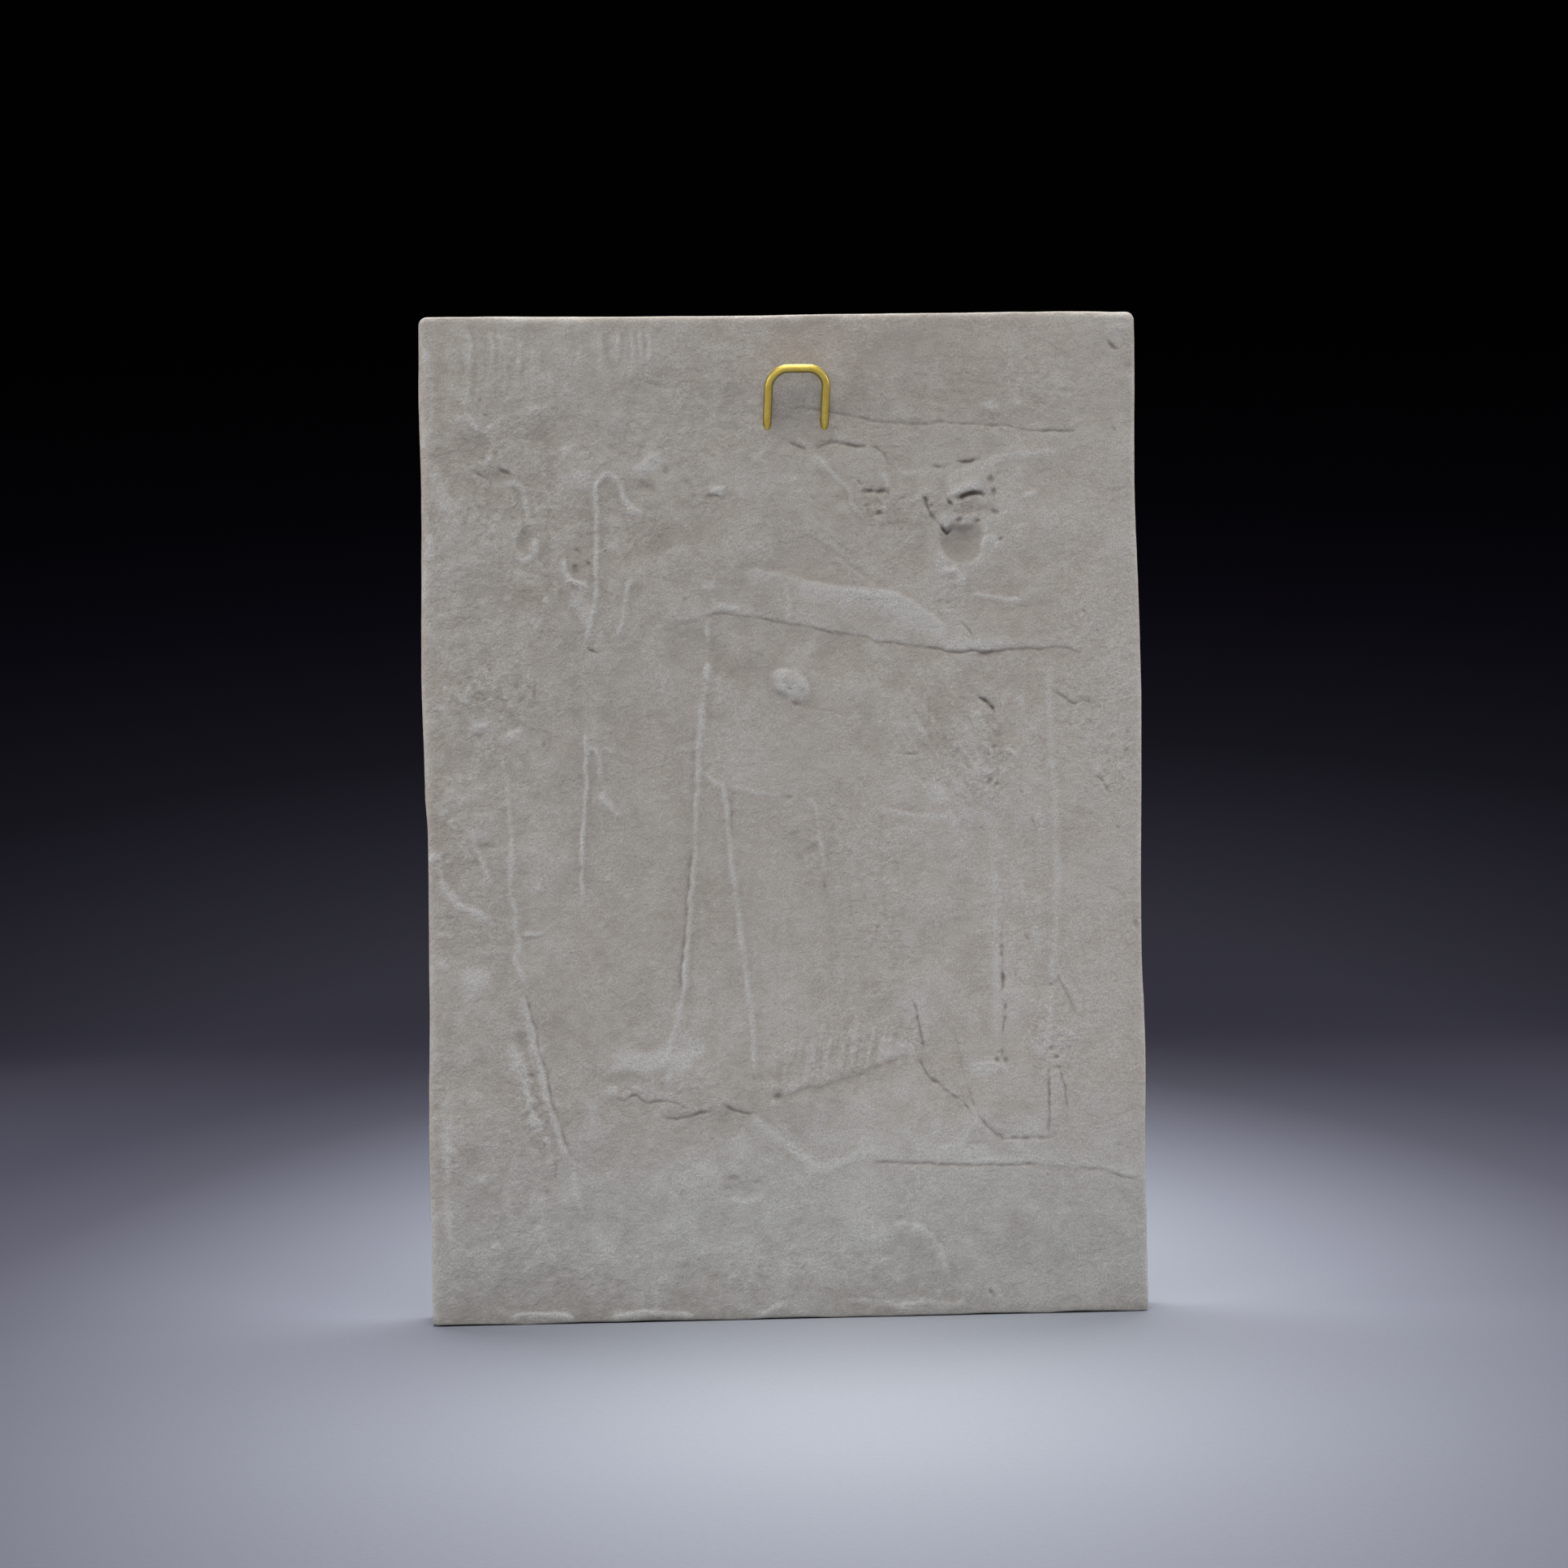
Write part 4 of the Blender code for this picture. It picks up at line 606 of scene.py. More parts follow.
rightSide = {
    "ridges": [
        (0.14, 1.4, 1.2, [
            (79.2, 50), (79.2, 45), (79.4, 41), (79.2, 38), (79.3, 34), (79.3, 30), (79.1, 25.5),
        ]),
        (0.22, 0.9, 0.9, [
            (87.2, 65), (87.2, 60), (87.4, 56), (87.7, 53), (87.9, 51.5), (87.8, 48), (88, 45), (88, 42),
            (87.8, 39), (87.4, 36), (87, 34), (86.8, 31), (86.6, 28), (86.2, 26),
        ]),
        (0.28, 0.6, 0.6, [
            (87.4, 34.7), (88.2, 33.6), (89, 32.7), (89.8, 32.2), (90.4, 31.5), (91, 30), (91.3, 29.3),
        ]),
        (0.14, 0.6, 0.6, [(86.5, 28), (88.5, 28.6)]),
        (0.14, 0.6, 0.6, [(91, 28.8), (93, 28.4)]),
        (0.2, 0.6, 0.6, [(94.3, 35), (95, 34.5)]),
        (0.26, 0.6, 0.6, [(80.9, 57), (81.8, 56), (82.9, 55.1)]),
        (0.22, 0.6, 0.6, [(78, 57.5), (79, 56), (79.6, 55.3)]),
        (0.12, 0.6, 0.9, [(75, 50.3), (77, 50.2), (79, 50.1)]),
        (0.2, 0.6, 0.6, [(80.5, 60), (81, 61.5), (81.6, 62.5), (82.5, 63.2)]),
        (0.2, 0.6, 0.6, [(82.2, 61.5), (83, 61.4), (83.6, 60.8)]),
        (0.2, 0.6, 0.6, [(68.5, 58.6), (69.5, 58.3), (70.5, 57.9)]),
        (0.2, 0.6, 0.6, [(71.5, 53.2), (72.3, 51.8), (73, 50.6)]),
        (0.2, 0.6, 0.6, [(70.2, 56), (70.5, 55), (71.2, 54)]),
        (0.22, 0.7, 1.2, [(93, 54.3), (93.8, 54.3), (94.5, 54)]),
    ],
    "cracks": [
        (0.3, 0.35, [(80, 39.5), (80.05, 38.3), (80, 37)]),
        (0.35, 0.35, [(80.1, 36.3), (80.1, 34), (80.2, 32)]),
        (0.3, 0.35, [(80.1, 31), (80, 29.5), (80.05, 27.6)]),
        (0.3, 0.35, [(80, 26.8), (80, 25.3)]),
        (0.3, 0.4, [(87.3, 34.4), (88, 33.5), (88.8, 32.3), (89.6, 31), (90, 30.3), (90.7, 29.7)]),
        (0.35, 0.42, [(83, 38), (83.5, 37.6), (84.4, 37.2)]),
        (0.3, 0.4, [(94.7, 34), (95.8, 33.8), (96.5, 33)]),
        (0.3, 0.4, [(75.6, 62.6), (76.6, 62), (77.5, 61.7)]),
        (0.9, 0.5, [(77, 61.8), (78.2, 61.3), (79, 60.7), (79.5, 60.2), (79.9, 59.8)]),
        (0.35, 0.4, [(79.9, 59.9), (80.1, 58.5), (80.1, 57)]),
        (0.25, 0.4, [(81, 56.3), (82, 55.4), (82.6, 54.3)]),
        (0.25, 0.4, [(82.8, 52.6), (83.6, 51.2)]),
        (0.35, 0.42, [(84.3, 49.8), (84.8, 49), (85.3, 48)]),
        (0.3, 0.42, [(77.3, 49), (78.2, 47.8)]),
        (0.4, 0.42, [
            (87.7, 62.3), (88.5, 61.9), (89.5, 61.4), (90.7, 60.8), (91.5, 61.1), (92.5, 61.1), (93.5, 60.8),
            (94.2, 60.4),
        ]),
        (0.15, 0.4, [(87.3, 62.9), (89.5, 63.2)]),
        (0.35, 0.42, [(93, 53.8), (94, 53.5), (94.8, 52.8), (95.3, 52), (96, 51.3)]),
        (0.25, 0.42, [(96.3, 49), (97.2, 47.8)]),
        (0.28, 0.42, [(66, 56.2), (68, 56), (69, 56.3), (70, 56.8)]),
        (0.28, 0.42, [(70.3, 61), (70.4, 59)]),
        (0.28, 0.42, [(71, 60.5), (71.7, 59.5), (72.2, 58.7)]),
        (0.25, 0.42, [(95, 42.5), (96.5, 42), (98, 41)]),
        (0.2, 0.42, [(74.6, 61.6), (76, 61)]),
    ],
    "mounds": [
        (-0.5, (79.4, 56.6), (0.8, 0.5)), (-0.6, (78.7, 53.3), (0.8, 0.6), 20),
        (-0.5, (79.7, 52.9), (0.6, 0.5)), (-0.6, (86.8, 26.4), (0.5, 0.5)), (-0.6, (87.5, 25.45), (0.5, 0.5)),
        (-0.5, (88, 24.5), (0.6, 0.6)), (-0.5, (86.4, 24.1), (0.5, 0.5)), (-0.7, (80.2, 33.4), (0.6, 1.6)),
        (-0.5, (80, 36.6), (0.6, 0.9)), (-0.5, (80, 35.9), (0.5, 0.7)), (-0.5, (80.4, 30.7), (0.5, 0.8)),
        (-0.5, (80.3, 29.5), (0.5, 0.8)), (-0.6, (79.2, 25.4), (0.7, 0.7)), (-0.6, (80.4, 25.3), (0.6, 0.6)),
        (-0.5, (86.8, 32.7), (0.6, 0.6)), (-0.5, (99, 38.7), (0.7, 0.9)), (-0.3, (96, 57.5), (0.8, 0.7)),
        (-0.3, (98, 56), (0.7, 0.7)), (-0.3, (98, 58), (0.7, 0.7)),
    ],
    "drags": [(0.11, 1, 122, (74, 57), (18, 20), 15), (0.05, 1.1, 100, (84, 42), (10, 24))],
    "crumbs": [
        (0.1, 0.9, (76, 56.5), (18, 18)), (0.08, 1.2, (93, 60), (12, 34)), (0.1, 1.1, (87, 27), (8, 14)),
    ],
    "tints": [
        (-0.3, (73, 59), (12, 8)), (0.7, (78, 49.8), (4, 2.4), -20), (0.4, (82.6, 43), (1.8, 5), 10),
        (0.25, (86, 32), (16, 10)), (0.3, (79.3, 37.5), (1.8, 28)), (-0.3, (76.8, 36), (5, 9)),
        (0.3, (71.5, 52.4), (1.6, 4), 25), (0.5, (72.7, 50.4), (10, 1.1), -64),
        (0.4, (89, 27.8), (6, 1.2), 18), (0.3, (87.5, 25.5), (3, 3)), (0.2, (93, 57.5), (5, 7)),
        (0.3, (87.8, 33.2), (2, 3)), (-0.35, (79.4, 53), (3, 2)), (-0.3, (79.5, 57), (2.5, 5)),
        (0.25, (84, 57), (4, 8)), (-0.25, (91, 47), (6, 8)), (-0.2, (84.5, 66), (6, 6)),
    ],
}

lowerEdge = {
    "ridges": [
        (0.45, 0.35, 1.6, [(10, 0.5), (11.5, 0.9), (13, 1.1), (15, 1), (17, 1.05), (19, 0.8), (20.7, 0.4)]),
        (0.45, 0.35, 1.6, [
            (24, 0.4), (26, 0.8), (28, 1), (29.3, 1.15), (31, 1.05), (33, 0.9), (35, 0.8), (37.2, 0.4),
        ]),
        (0.4, 0.35, 1.6, [(43.5, 0.4), (46, 0.7), (47, 1.1), (48, 1.5), (49.3, 1.9)]),
        (0.25, 0.5, 1.2, [(57, 1.8), (60, 1.7), (63, 1.5), (65, 1.1), (68, 1.4), (71, 1.2), (75, 1.6)]),
    ],
    "tints": [
        (-0.5, (3, 0.6), (14, 1.6)), (-0.5, (22.3, 0.8), (3, 1.6)), (-0.4, (40, 0.8), (6, 1.6)),
        (0.5, (15.5, 1.1), (9, 0.9)), (0.5, (30, 1.2), (11, 0.9)), (0.4, (47.5, 1.5), (4, 1), 15),
        (0.3, (65, 1.5), (18, 0.9)),
    ],
}

# broad stretches of paler and darker plaster
broadTone = {
    "tints": [
        (0.25, (97, 60), (12, 110)), (0.12, (3, 90), (9, 13)), (0.45, (70, 15), (70, 15)),
        (0.3, (55, 29), (52, 14)), (0.35, (42, 8), (56, 14)), (0.25, (42, 56), (14, 24)),
        (0.25, (12, 77.5), (8, 10)), (0.25, (35, 96), (26, 7)), (0.3, (53, 92), (8, 8)),
        (0.5, (69, 71), (15, 11), -25), (0.3, (84, 47), (18, 34)), (-0.4, (76, 93), (60, 18)),
        (0.3, (93, 5), (24, 12)), (-0.25, (96, 97), (10, 8)), (0.25, (88, 24), (14, 16)),
        (0.25, (72, 52), (18, 40)), (-0.25, (20, 62), (14, 26)), (-0.2, (48, 49), (12, 12)),
    ],
}
# places the trowel left smoother: share taken off, place, radii mm, turn
calmPlaces = [
    (0.6, (45, 44), (44, 50)),
    (0.5, (94, 50), (15, 135)),
    (0.6, (60, 71), (38, 8), -8),
    (0.5, (84, 92), (30, 16)),
    (0.4, (60, 12), (60, 8)),
]

loop = {
    "wireRadius": 1.27 * mm,
    "width": 17 * mm,
    "rise": 14.6 * mm,
    "offset": 4.8 * mm,
    "drop": 16.7 * mm,  # plaque's upper edge down to the top's centre line
    "lean": 5 * mm,
    "skew": 0.6 * mm,
    "shoulder": 5.6 * mm,
    "footBend": 9 * mm,
    "footTurn": math.radians(72),
    "footEnd": 2.5 * mm,
    "sides": 36,
    "perBend": 22,
}

relief = {
    "border": 15 * mm,
    "slope": 3 * mm,
    "field": 3.6 * mm,
    "height": 232 * mm,
    "bend": 17 * mm,
    "swing": math.radians(225),
    "shift": 0.35,
    "stemRadius": 1.9 * mm,
    "pairs": 6,
    "firstPair": 0.12,
    "lastPair": 0.86,
    "stagger": 0.03,
    "tipLeaf": 0.9,
    "tipLeafSize": 0.64,
    "leafLength": 43 * mm,
    "leafWidth": 15.5 * mm,
    "leafRise": 2.9 * mm,
    "leafEndRise": 0.65,
    "fullness": 0.8,
    "shrink": 0.45,
    "angle": math.radians(40),
    "ribWidth": 0.7 * mm,
    "ribDepth": 0.9 * mm,
    "sideVeins": 7,
    "veinDepth": 0.22 * mm,
    "veinSlant": 0.45,
    "veinSharpness": 6,
    "toolMarks": 0.05 * mm,  # in the sunk field
    "toolGrain": 4 * mm,
    "wear": 0.04 * mm,  # over the whole front
    "wearGrain": 12 * mm,
}


def eased(share):
    share = np.clip(share, 0, 1)
    return share * share * (3 - 2 * share)


def noise(x, z, size, seed, heading=0, stretch=1):
    # smooth bumps of about this size, from -1 to 1, drawn out along the heading
    turn = math.radians(heading)
    along = (x * math.cos(turn) + z * math.sin(turn)) / (size * stretch)
    across = (z * math.cos(turn) - x * math.sin(turn)) / size
    table = np.random.default_rng(seed).uniform(-1, 1, (256, 256))
    i, j = np.floor(along).astype(int), np.floor(across).astype(int)
    s, t = eased(along - i), eased(across - j)
    low = table[i & 255, j & 255] * (1 - s) + table[(i + 1) & 255, j & 255] * s
    high = table[i & 255, (j + 1) & 255] * (1 - s) + table[(i + 1) & 255, (j + 1) & 255] * s
    return low * (1 - t) + high * t


def smoothCourse(points, perSpan=5):
    # a smooth curve through hundredths of width and height, in metres
    knots = np.array(points) * (plaque["width"] / 100, plaque["height"] / 100)
    knots = np.vstack([2 * knots[0] - knots[1], knots, 2 * knots[-1] - knots[-2]])
    share = np.linspace(0, 1, perSpan, endpoint=False)[:, None]
    spans = []
    for a, b, c, d in zip(knots, knots[1:], knots[2:], knots[3:]):
        curve = 2 * b + (c - a) * share + (2 * a - 5 * b + 4 * c - d) * share**2
        spans.append((curve + (3 * b - a - 3 * c + d) * share**3) / 2)
    return np.vstack(spans + [knots[-2]])


def blurred(grid, cells):
    # three box blurs, close to a soft round one
    for axis in (0, 1, 0, 1, 0, 1):
        reach = max(1, int(cells))
        padded = np.concatenate([np.repeat(grid.take([0], axis), reach + 1, axis), grid,
                                 np.repeat(grid.take([-1], axis), reach, axis)], axis)
        total = np.cumsum(padded, axis)
        count = grid.shape[axis]
        span = 2 * reach + 1
        grid = (total.take(range(span, span + count), axis) - total.take(range(count), axis)) / span
    return grid


def deadEnds(passed, length, end, share):
    # 0 at both ends of a course and 1 between them
    return np.clip(np.minimum(passed, length - passed) / min(end, share * length), 0, 1)


def inside(out, wall):
    # 1 in the middle of an oval and 0 outside it
    return np.exp(-(out ** wall))


class Sheet:
    # the height of one face over its plane, on a fine grid in metres from the lower left corner
    def __init__(self, warp, seed):
        self.step = plaque["sheetStep"]
        self.xs = np.arange(0, plaque["width"] + self.step, self.step)
        self.zs = np.arange(0, plaque["height"] + self.step, self.step)
        self.x, self.z = np.meshgrid(self.xs, self.zs, indexing="ij")
        self.height = np.zeros(self.x.shape)
        self.cracked, self.rough, self.dragged, self.tone = (np.zeros(self.x.shape) for _ in range(4))
        self.seed = seed
        self.warpedX = self.x + warp * self.wander(seed + 1)
        self.warpedZ = self.z + warp * self.wander(seed + 3)

    def wander(self, seed):
        soft, fine = marks["warpGrains"]
        return noise(self.x, self.z, soft, seed) + 0.5 * noise(self.x, self.z, fine, seed + 1)

    def window(self, low, high):
        i = np.searchsorted(self.xs, (low[0], high[0]))
        k = np.searchsorted(self.zs, (low[1], high[1]))
        return slice(*i), slice(*k)

    def across(self, line, reach):
        # signed distance to the line (positive on its left), the length passed, and where they hold
        spot = self.window(line.min(axis=0) - reach, line.max(axis=0) + reach)
        shape = self.x[spot].shape
        nearest, side, passed = np.full(shape, np.inf), np.ones(shape), np.zeros(shape)
        lengths = np.hypot(*np.diff(line, axis=0).T)
        starts = np.concatenate([[0], np.cumsum(lengths)])
        for start, end, begun, length in zip(line, line[1:], starts, lengths):
            part = self.window(np.minimum(start, end) - reach, np.maximum(start, end) + reach)
            near = tuple(slice(p.start - s.start, p.stop - s.start) for p, s in zip(part, spot))
            run = end - start
            fromX, fromZ = self.warpedX[part] - start[0], self.warpedZ[part] - start[1]
            share = np.clip((fromX * run[0] + fromZ * run[1]) / (run @ run), 0, 1)
            awayX, awayZ = fromX - share * run[0], fromZ - share * run[1]
            away = np.hypot(awayX, awayZ)
            closer = away < nearest[near]
            nearest[near] = np.where(closer, away, nearest[near])
            side[near] = np.where(closer, np.sign(run[0] * awayZ - run[1] * awayX), side[near])
            passed[near] = np.where(closer, begun + share * length, passed[near])
        return spot, nearest * side, passed, starts[-1]

    def ridge(self, rise, left, right, course):
        line = smoothCourse(course)
        left, right = left * marks["ridgeSpread"], right * marks["ridgeSpread"]
        spot, away, passed, length = self.across(line, marks["ridgeFoot"] * mm * max(left, right))
        ends = eased(deadEnds(passed, length, marks["ridgeEnd"], share=0.3))
        level = np.zeros_like(passed)
        (slow, slowGrain), (quick, quickGrain) = marks["ridgeWaver"], marks["ridgeShiver"]
        uneven = slow * noise(passed, level, slowGrain, self.seed + len(course))
        uneven += quick * noise(passed, level, quickGrain, seed=8)
        ragged = min(1, 1.2 / max(left, right))  # narrow ridges are the uneven ones
        reach = mm * np.where(away > 0, left, right)
        lift = mm * marks["ridgeShare"] * rise * ends * (1 + ragged * uneven) * np.exp(-((away / reach) ** 2))
        self.height[spot] += lift

    def crack(self, depth, half, course):
        line = smoothCourse(course)
        spot, away, passed, length = self.across(line, marks["crackFoot"] * mm * half)
        ends = deadEnds(passed, length, marks["crackEnd"], share=0.4)
        waver, grain = marks["crackWaver"]
        uneven = 1 + waver * noise(passed, np.zeros_like(passed), grain, self.seed + 31 + len(course))
        gap = np.exp(-np.abs(away / (mm * half)) ** marks["crackWall"]) * ends * uneven
        self.height[spot] -= mm * marks["crackShare"] * depth * gap
        # painted shade: how dark the finish paints the crack
        self.cracked[spot] = np.maximum(self.cracked[spot], np.clip(gap, 0, 1) * min(1, depth))

    def oval(self, place, radii, turn=0):
        centre = np.array(place) * (plaque["width"] / 100, plaque["height"] / 100)
        reach = 2 * mm * max(radii)
        spot = self.window(centre - reach, centre + reach)
        turn = math.radians(turn)
        awayX, awayZ = self.warpedX[spot] - centre[0], self.warpedZ[spot] - centre[1]
        along = (awayX * math.cos(turn) + awayZ * math.sin(turn)) / (radii[0] * mm)
        across = (awayZ * math.cos(turn) - awayX * math.sin(turn)) / (radii[1] * mm)
        return spot, np.hypot(along, across)

    def mound(self, rise, place, radii, turn=0, wall=2):
        spot, out = self.oval(place, radii, turn)
        share = marks["moundShare"] if rise > 0 else 1
        self.height[spot] += mm * share * rise * inside(out, wall)

    def crumbs(self, rise, grain, place, radii, turn=0):
        spot, out = self.oval(place, radii, turn)
        x, z = self.x[spot], self.z[spot]
        seed = self.seed + 50 + int(10 * grain)
        lumps = noise(x, z, grain * mm, seed) + 0.7 * noise(x, z, 0.5 * grain * mm, seed + 1, heading=30)
        patches = 0.4 + 0.6 * eased(0.5 + noise(x, z, 6 * mm, seed + 2))
        held = patches * inside(out, marks["ovalWall"])
        self.height[spot] += mm * rise * lumps * held
        self.rough[spot] = np.maximum(self.rough[spot], held * min(1, 8 * rise))

    def drags(self, rise, spacing, heading, place, radii, turn=0):
        spot, out = self.oval(place, radii, turn)
        x, z = self.warpedX[spot], self.warpedZ[spot]
        seed = self.seed + 70 + int(heading)
        lines = noise(x, z, spacing * mm, seed, heading, stretch=9)
        lines += 0.5 * noise(x, z, 0.45 * spacing * mm, seed + 1, heading, stretch=14)
        held = inside(out, marks["ovalWall"])
        self.height[spot] += mm * rise * lines * held
        self.dragged[spot] = np.maximum(self.dragged[spot], held * min(1, 10 * rise))

    def tint(self, share, place, radii, turn=0):
        spot, out = self.oval(place, radii, turn)
        x, z = self.x[spot], self.z[spot]
        (torn, tornGrain), (frayed, frayedGrain) = marks["tintRagged"], marks["tintFrayed"]
        ragged = torn * noise(x, z, tornGrain, self.seed + 90)
        ragged += frayed * noise(x, z, frayedGrain, self.seed + 91)
        ragged *= min(1, 8 / max(radii))  # broad ones have soft edges
        # the plaster's own paler and darker patches, together with painted highlight and painted shade beside
        # ridges, rims and hollows
        self.tone[spot] += marks["tintShare"] * share * inside(out * (1 + ragged), marks["tintWall"])

    def carve(self, area):
        # cracks come after all that is raised, so that they cut it
        makers = {
            "ridges": self.ridge, "mounds": self.mound, "drags": self.drags, "crumbs": self.crumbs,
            "cracks": self.crack, "tints": self.tint,
        }
        for kind, make in makers.items():
            for mark in area.get(kind, ()):
                make(*mark)

    def read(self, grid, x, z):
        # bilinear reading of a grid at places in metres
        i = np.clip(x / self.step, 0, grid.shape[0] - 1.001)
        k = np.clip(z / self.step, 0, grid.shape[1] - 1.001)
        i0, k0 = i.astype(int), k.astype(int)
        s, t = i - i0, k - k0
        low = grid[i0, k0] * (1 - s) + grid[i0 + 1, k0] * s
        high = grid[i0, k0 + 1] * (1 - s) + grid[i0 + 1, k0 + 1] * s
        return low * (1 - t) + high * t


def trowelledBack():
    sheet = Sheet(marks["warp"], seed=11)
    for rise, grain, seed, heading in plaque["unevenness"]:
        sheet.height += rise * mm * noise(sheet.x, sheet.z, grain * mm, seed, heading)
    for share, *place in calmPlaces:
        spot, out = sheet.oval(*place)
        calm = share * inside(out, marks["ovalWall"])
        sheet.height[spot] *= 1 - calm
        sheet.rough[spot] -= 0.7 * calm
    areas = (
        topLeft, slurryRuns, archRidge, loopGround, chippedPlace, swipedBand, lump, longRidges, leftSide,
        patchEdge, rightSide, lowerEdge, broadTone,
    )
    for area in areas:
        sheet.carve(area)
    return sheet


def stemPlace(share):
    swing = relief["swing"] * share
    x = relief["bend"] * (math.sin(swing) - relief["shift"])
    z = (plaque["height"] - relief["height"]) / 2 + relief["height"] * share
    heading = math.atan2(relief["height"], relief["bend"] * relief["swing"] * math.cos(swing))
    return x, z, heading


def leafPlaces():
    leaves = []
    pairs = relief["pairs"]
    for pair in range(pairs):
        share = relief["firstPair"] + (relief["lastPair"] - relief["firstPair"]) * pair / (pairs - 1)
        size = 1 - relief["shrink"] * pair / pairs
        for side in (-1, 1):
            x, z, heading = stemPlace(share + relief["stagger"] * (side > 0))
            leaves.append((x, z, heading + side * relief["angle"], size))
    x, z, heading = stemPlace(relief["tipLeaf"])
    leaves.append((x, z, heading, relief["tipLeafSize"]))
    return leaves


def leafHeight(x, z, footX, footZ, heading, size):
    length = relief["leafLength"] * size
    along = ((x - footX) * math.cos(heading) + (z - footZ) * math.sin(heading)) / length
    across = (z - footZ) * math.cos(heading) - (x - footX) * math.sin(heading)
    inside = np.clip(along, 0, 1)
    half = relief["leafWidth"] / 2 * size * np.sin(math.pi * inside ** relief["fullness"]) + 0.01 * mm
    dome = np.clip(1 - (across / half) ** 2, 0, 1) ** relief["fullness"]
    rib = relief["ribDepth"] * np.exp(-((across / relief["ribWidth"]) ** 2))
    # side veins slant from the rib towards the point
    slant = along - relief["veinSlant"] * np.abs(across) / length
    veins = np.clip(np.cos(2 * math.pi * relief["sideVeins"] * slant), 0, 1) ** relief["veinSharpness"]
    veins = veins * relief["veinDepth"] * eased(np.abs(across) / (0.15 * half + 0.2 * mm)) * size
    swell = relief["leafEndRise"] + (1 - relief["leafEndRise"]) * np.sin(math.pi * inside)
    lift = relief["leafRise"] * size * dome * swell - (rib + veins) * dome
    return np.where((along > 0) & (along < 1), lift, 0)


def carvedFront():
    sheet = Sheet(0.05 * mm, seed=200)
    x, z = sheet.x, sheet.z
    edge = np.minimum(np.minimum(x, plaque["width"] - x), np.minimum(z, plaque["height"] - z))
    sunk = eased((edge - relief["border"]) / relief["slope"])
    raised = np.zeros(x.shape)
    for leaf in leafPlaces():
        raised = np.maximum(raised, leafHeight(x - plaque["width"] / 2, z, *leaf))
    stem = np.array([stemPlace(share)[:2] for share in np.linspace(0, 1, 60)]) + (plaque["width"] / 2, 0)
    spot, away, _, _ = sheet.across(stem, 6 * mm)
    bar = relief["stemRadius"] * np.exp(-((away / relief["stemRadius"]) ** 2))
    raised[spot] = np.maximum(raised[spot], bar)
    sheet.height += sunk * (raised - relief["field"])
    # long tool marks in the sunk field, softer wear everywhere
    field = sunk * (raised < 0.3 * mm)
    sheet.height += relief["toolMarks"] * field * noise(x, z, relief["toolGrain"], 211, heading=70, stretch=3)
    sheet.height += relief["wear"] * (noise(x, z, relief["wearGrain"], 212) - 1.2)
    sheet.dragged += 0.4 * field
    return sheet


def drift(places, knots):
    at, value = np.transpose(knots)
    index = np.clip(np.searchsorted(at, places) - 1, 0, len(at) - 2)
    share = eased((places - at[index]) / (at[index + 1] - at[index]))
    return mm * (value[index] + (value[index + 1] - value[index]) * share)


def latticeLines(low, high, count):
    rim = plaque["edgeRound"] * np.linspace(0, 1, plaque["edgeRows"], endpoint=False)
    middle = np.linspace(low + plaque["edgeRound"], high - plaque["edgeRound"], count + 1)
    return np.concatenate([low + rim, middle, high - rim[::-1]])


def boxLattice(xs, ys, zs):
    index = np.full((len(xs), len(ys), len(zs)), -1)
    skin = np.zeros(index.shape, bool)
    skin[[0, -1]] = skin[:, [0, -1]] = skin[:, :, [0, -1]] = True
    index[skin] = np.arange(skin.sum())
    i, j, k = np.nonzero(skin)
    points = np.stack([xs[i], ys[j], zs[k]], axis=1)
    outward = (index[-1], index[:, 0], index[:, :, -1])
    inward = (index[0], index[:, -1], index[:, :, 0])
    faces = []
    for sheet, order in [(sheet, 1) for sheet in outward] + [(sheet, -1) for sheet in inward]:
        corners = (sheet[:-1, :-1], sheet[1:, :-1], sheet[1:, 1:], sheet[:-1, 1:])
        faces.append(np.stack(corners[::order], axis=-1).reshape(-1, 4))
    return points, np.vstack(faces)


def meshOf(name, points, faces):
    # a mesh straight from arrays, for speed
    mesh = bpy.data.meshes.new(name)
    sides = faces.shape[1]
    mesh.vertices.add(len(points))
    mesh.vertices.foreach_set("co", np.ascontiguousarray(points, np.float32).ravel())
    mesh.loops.add(faces.size)
    mesh.loops.foreach_set("vertex_index", faces.ravel().astype(np.int32))
    mesh.polygons.add(len(faces))
    mesh.polygons.foreach_set("loop_start", np.arange(0, faces.size, sides, dtype=np.int32))
    mesh.polygons.foreach_set("loop_total", np.full(len(faces), sides, np.int32))
    mesh.update(calc_edges=True)
    mesh.validate()
    return mesh


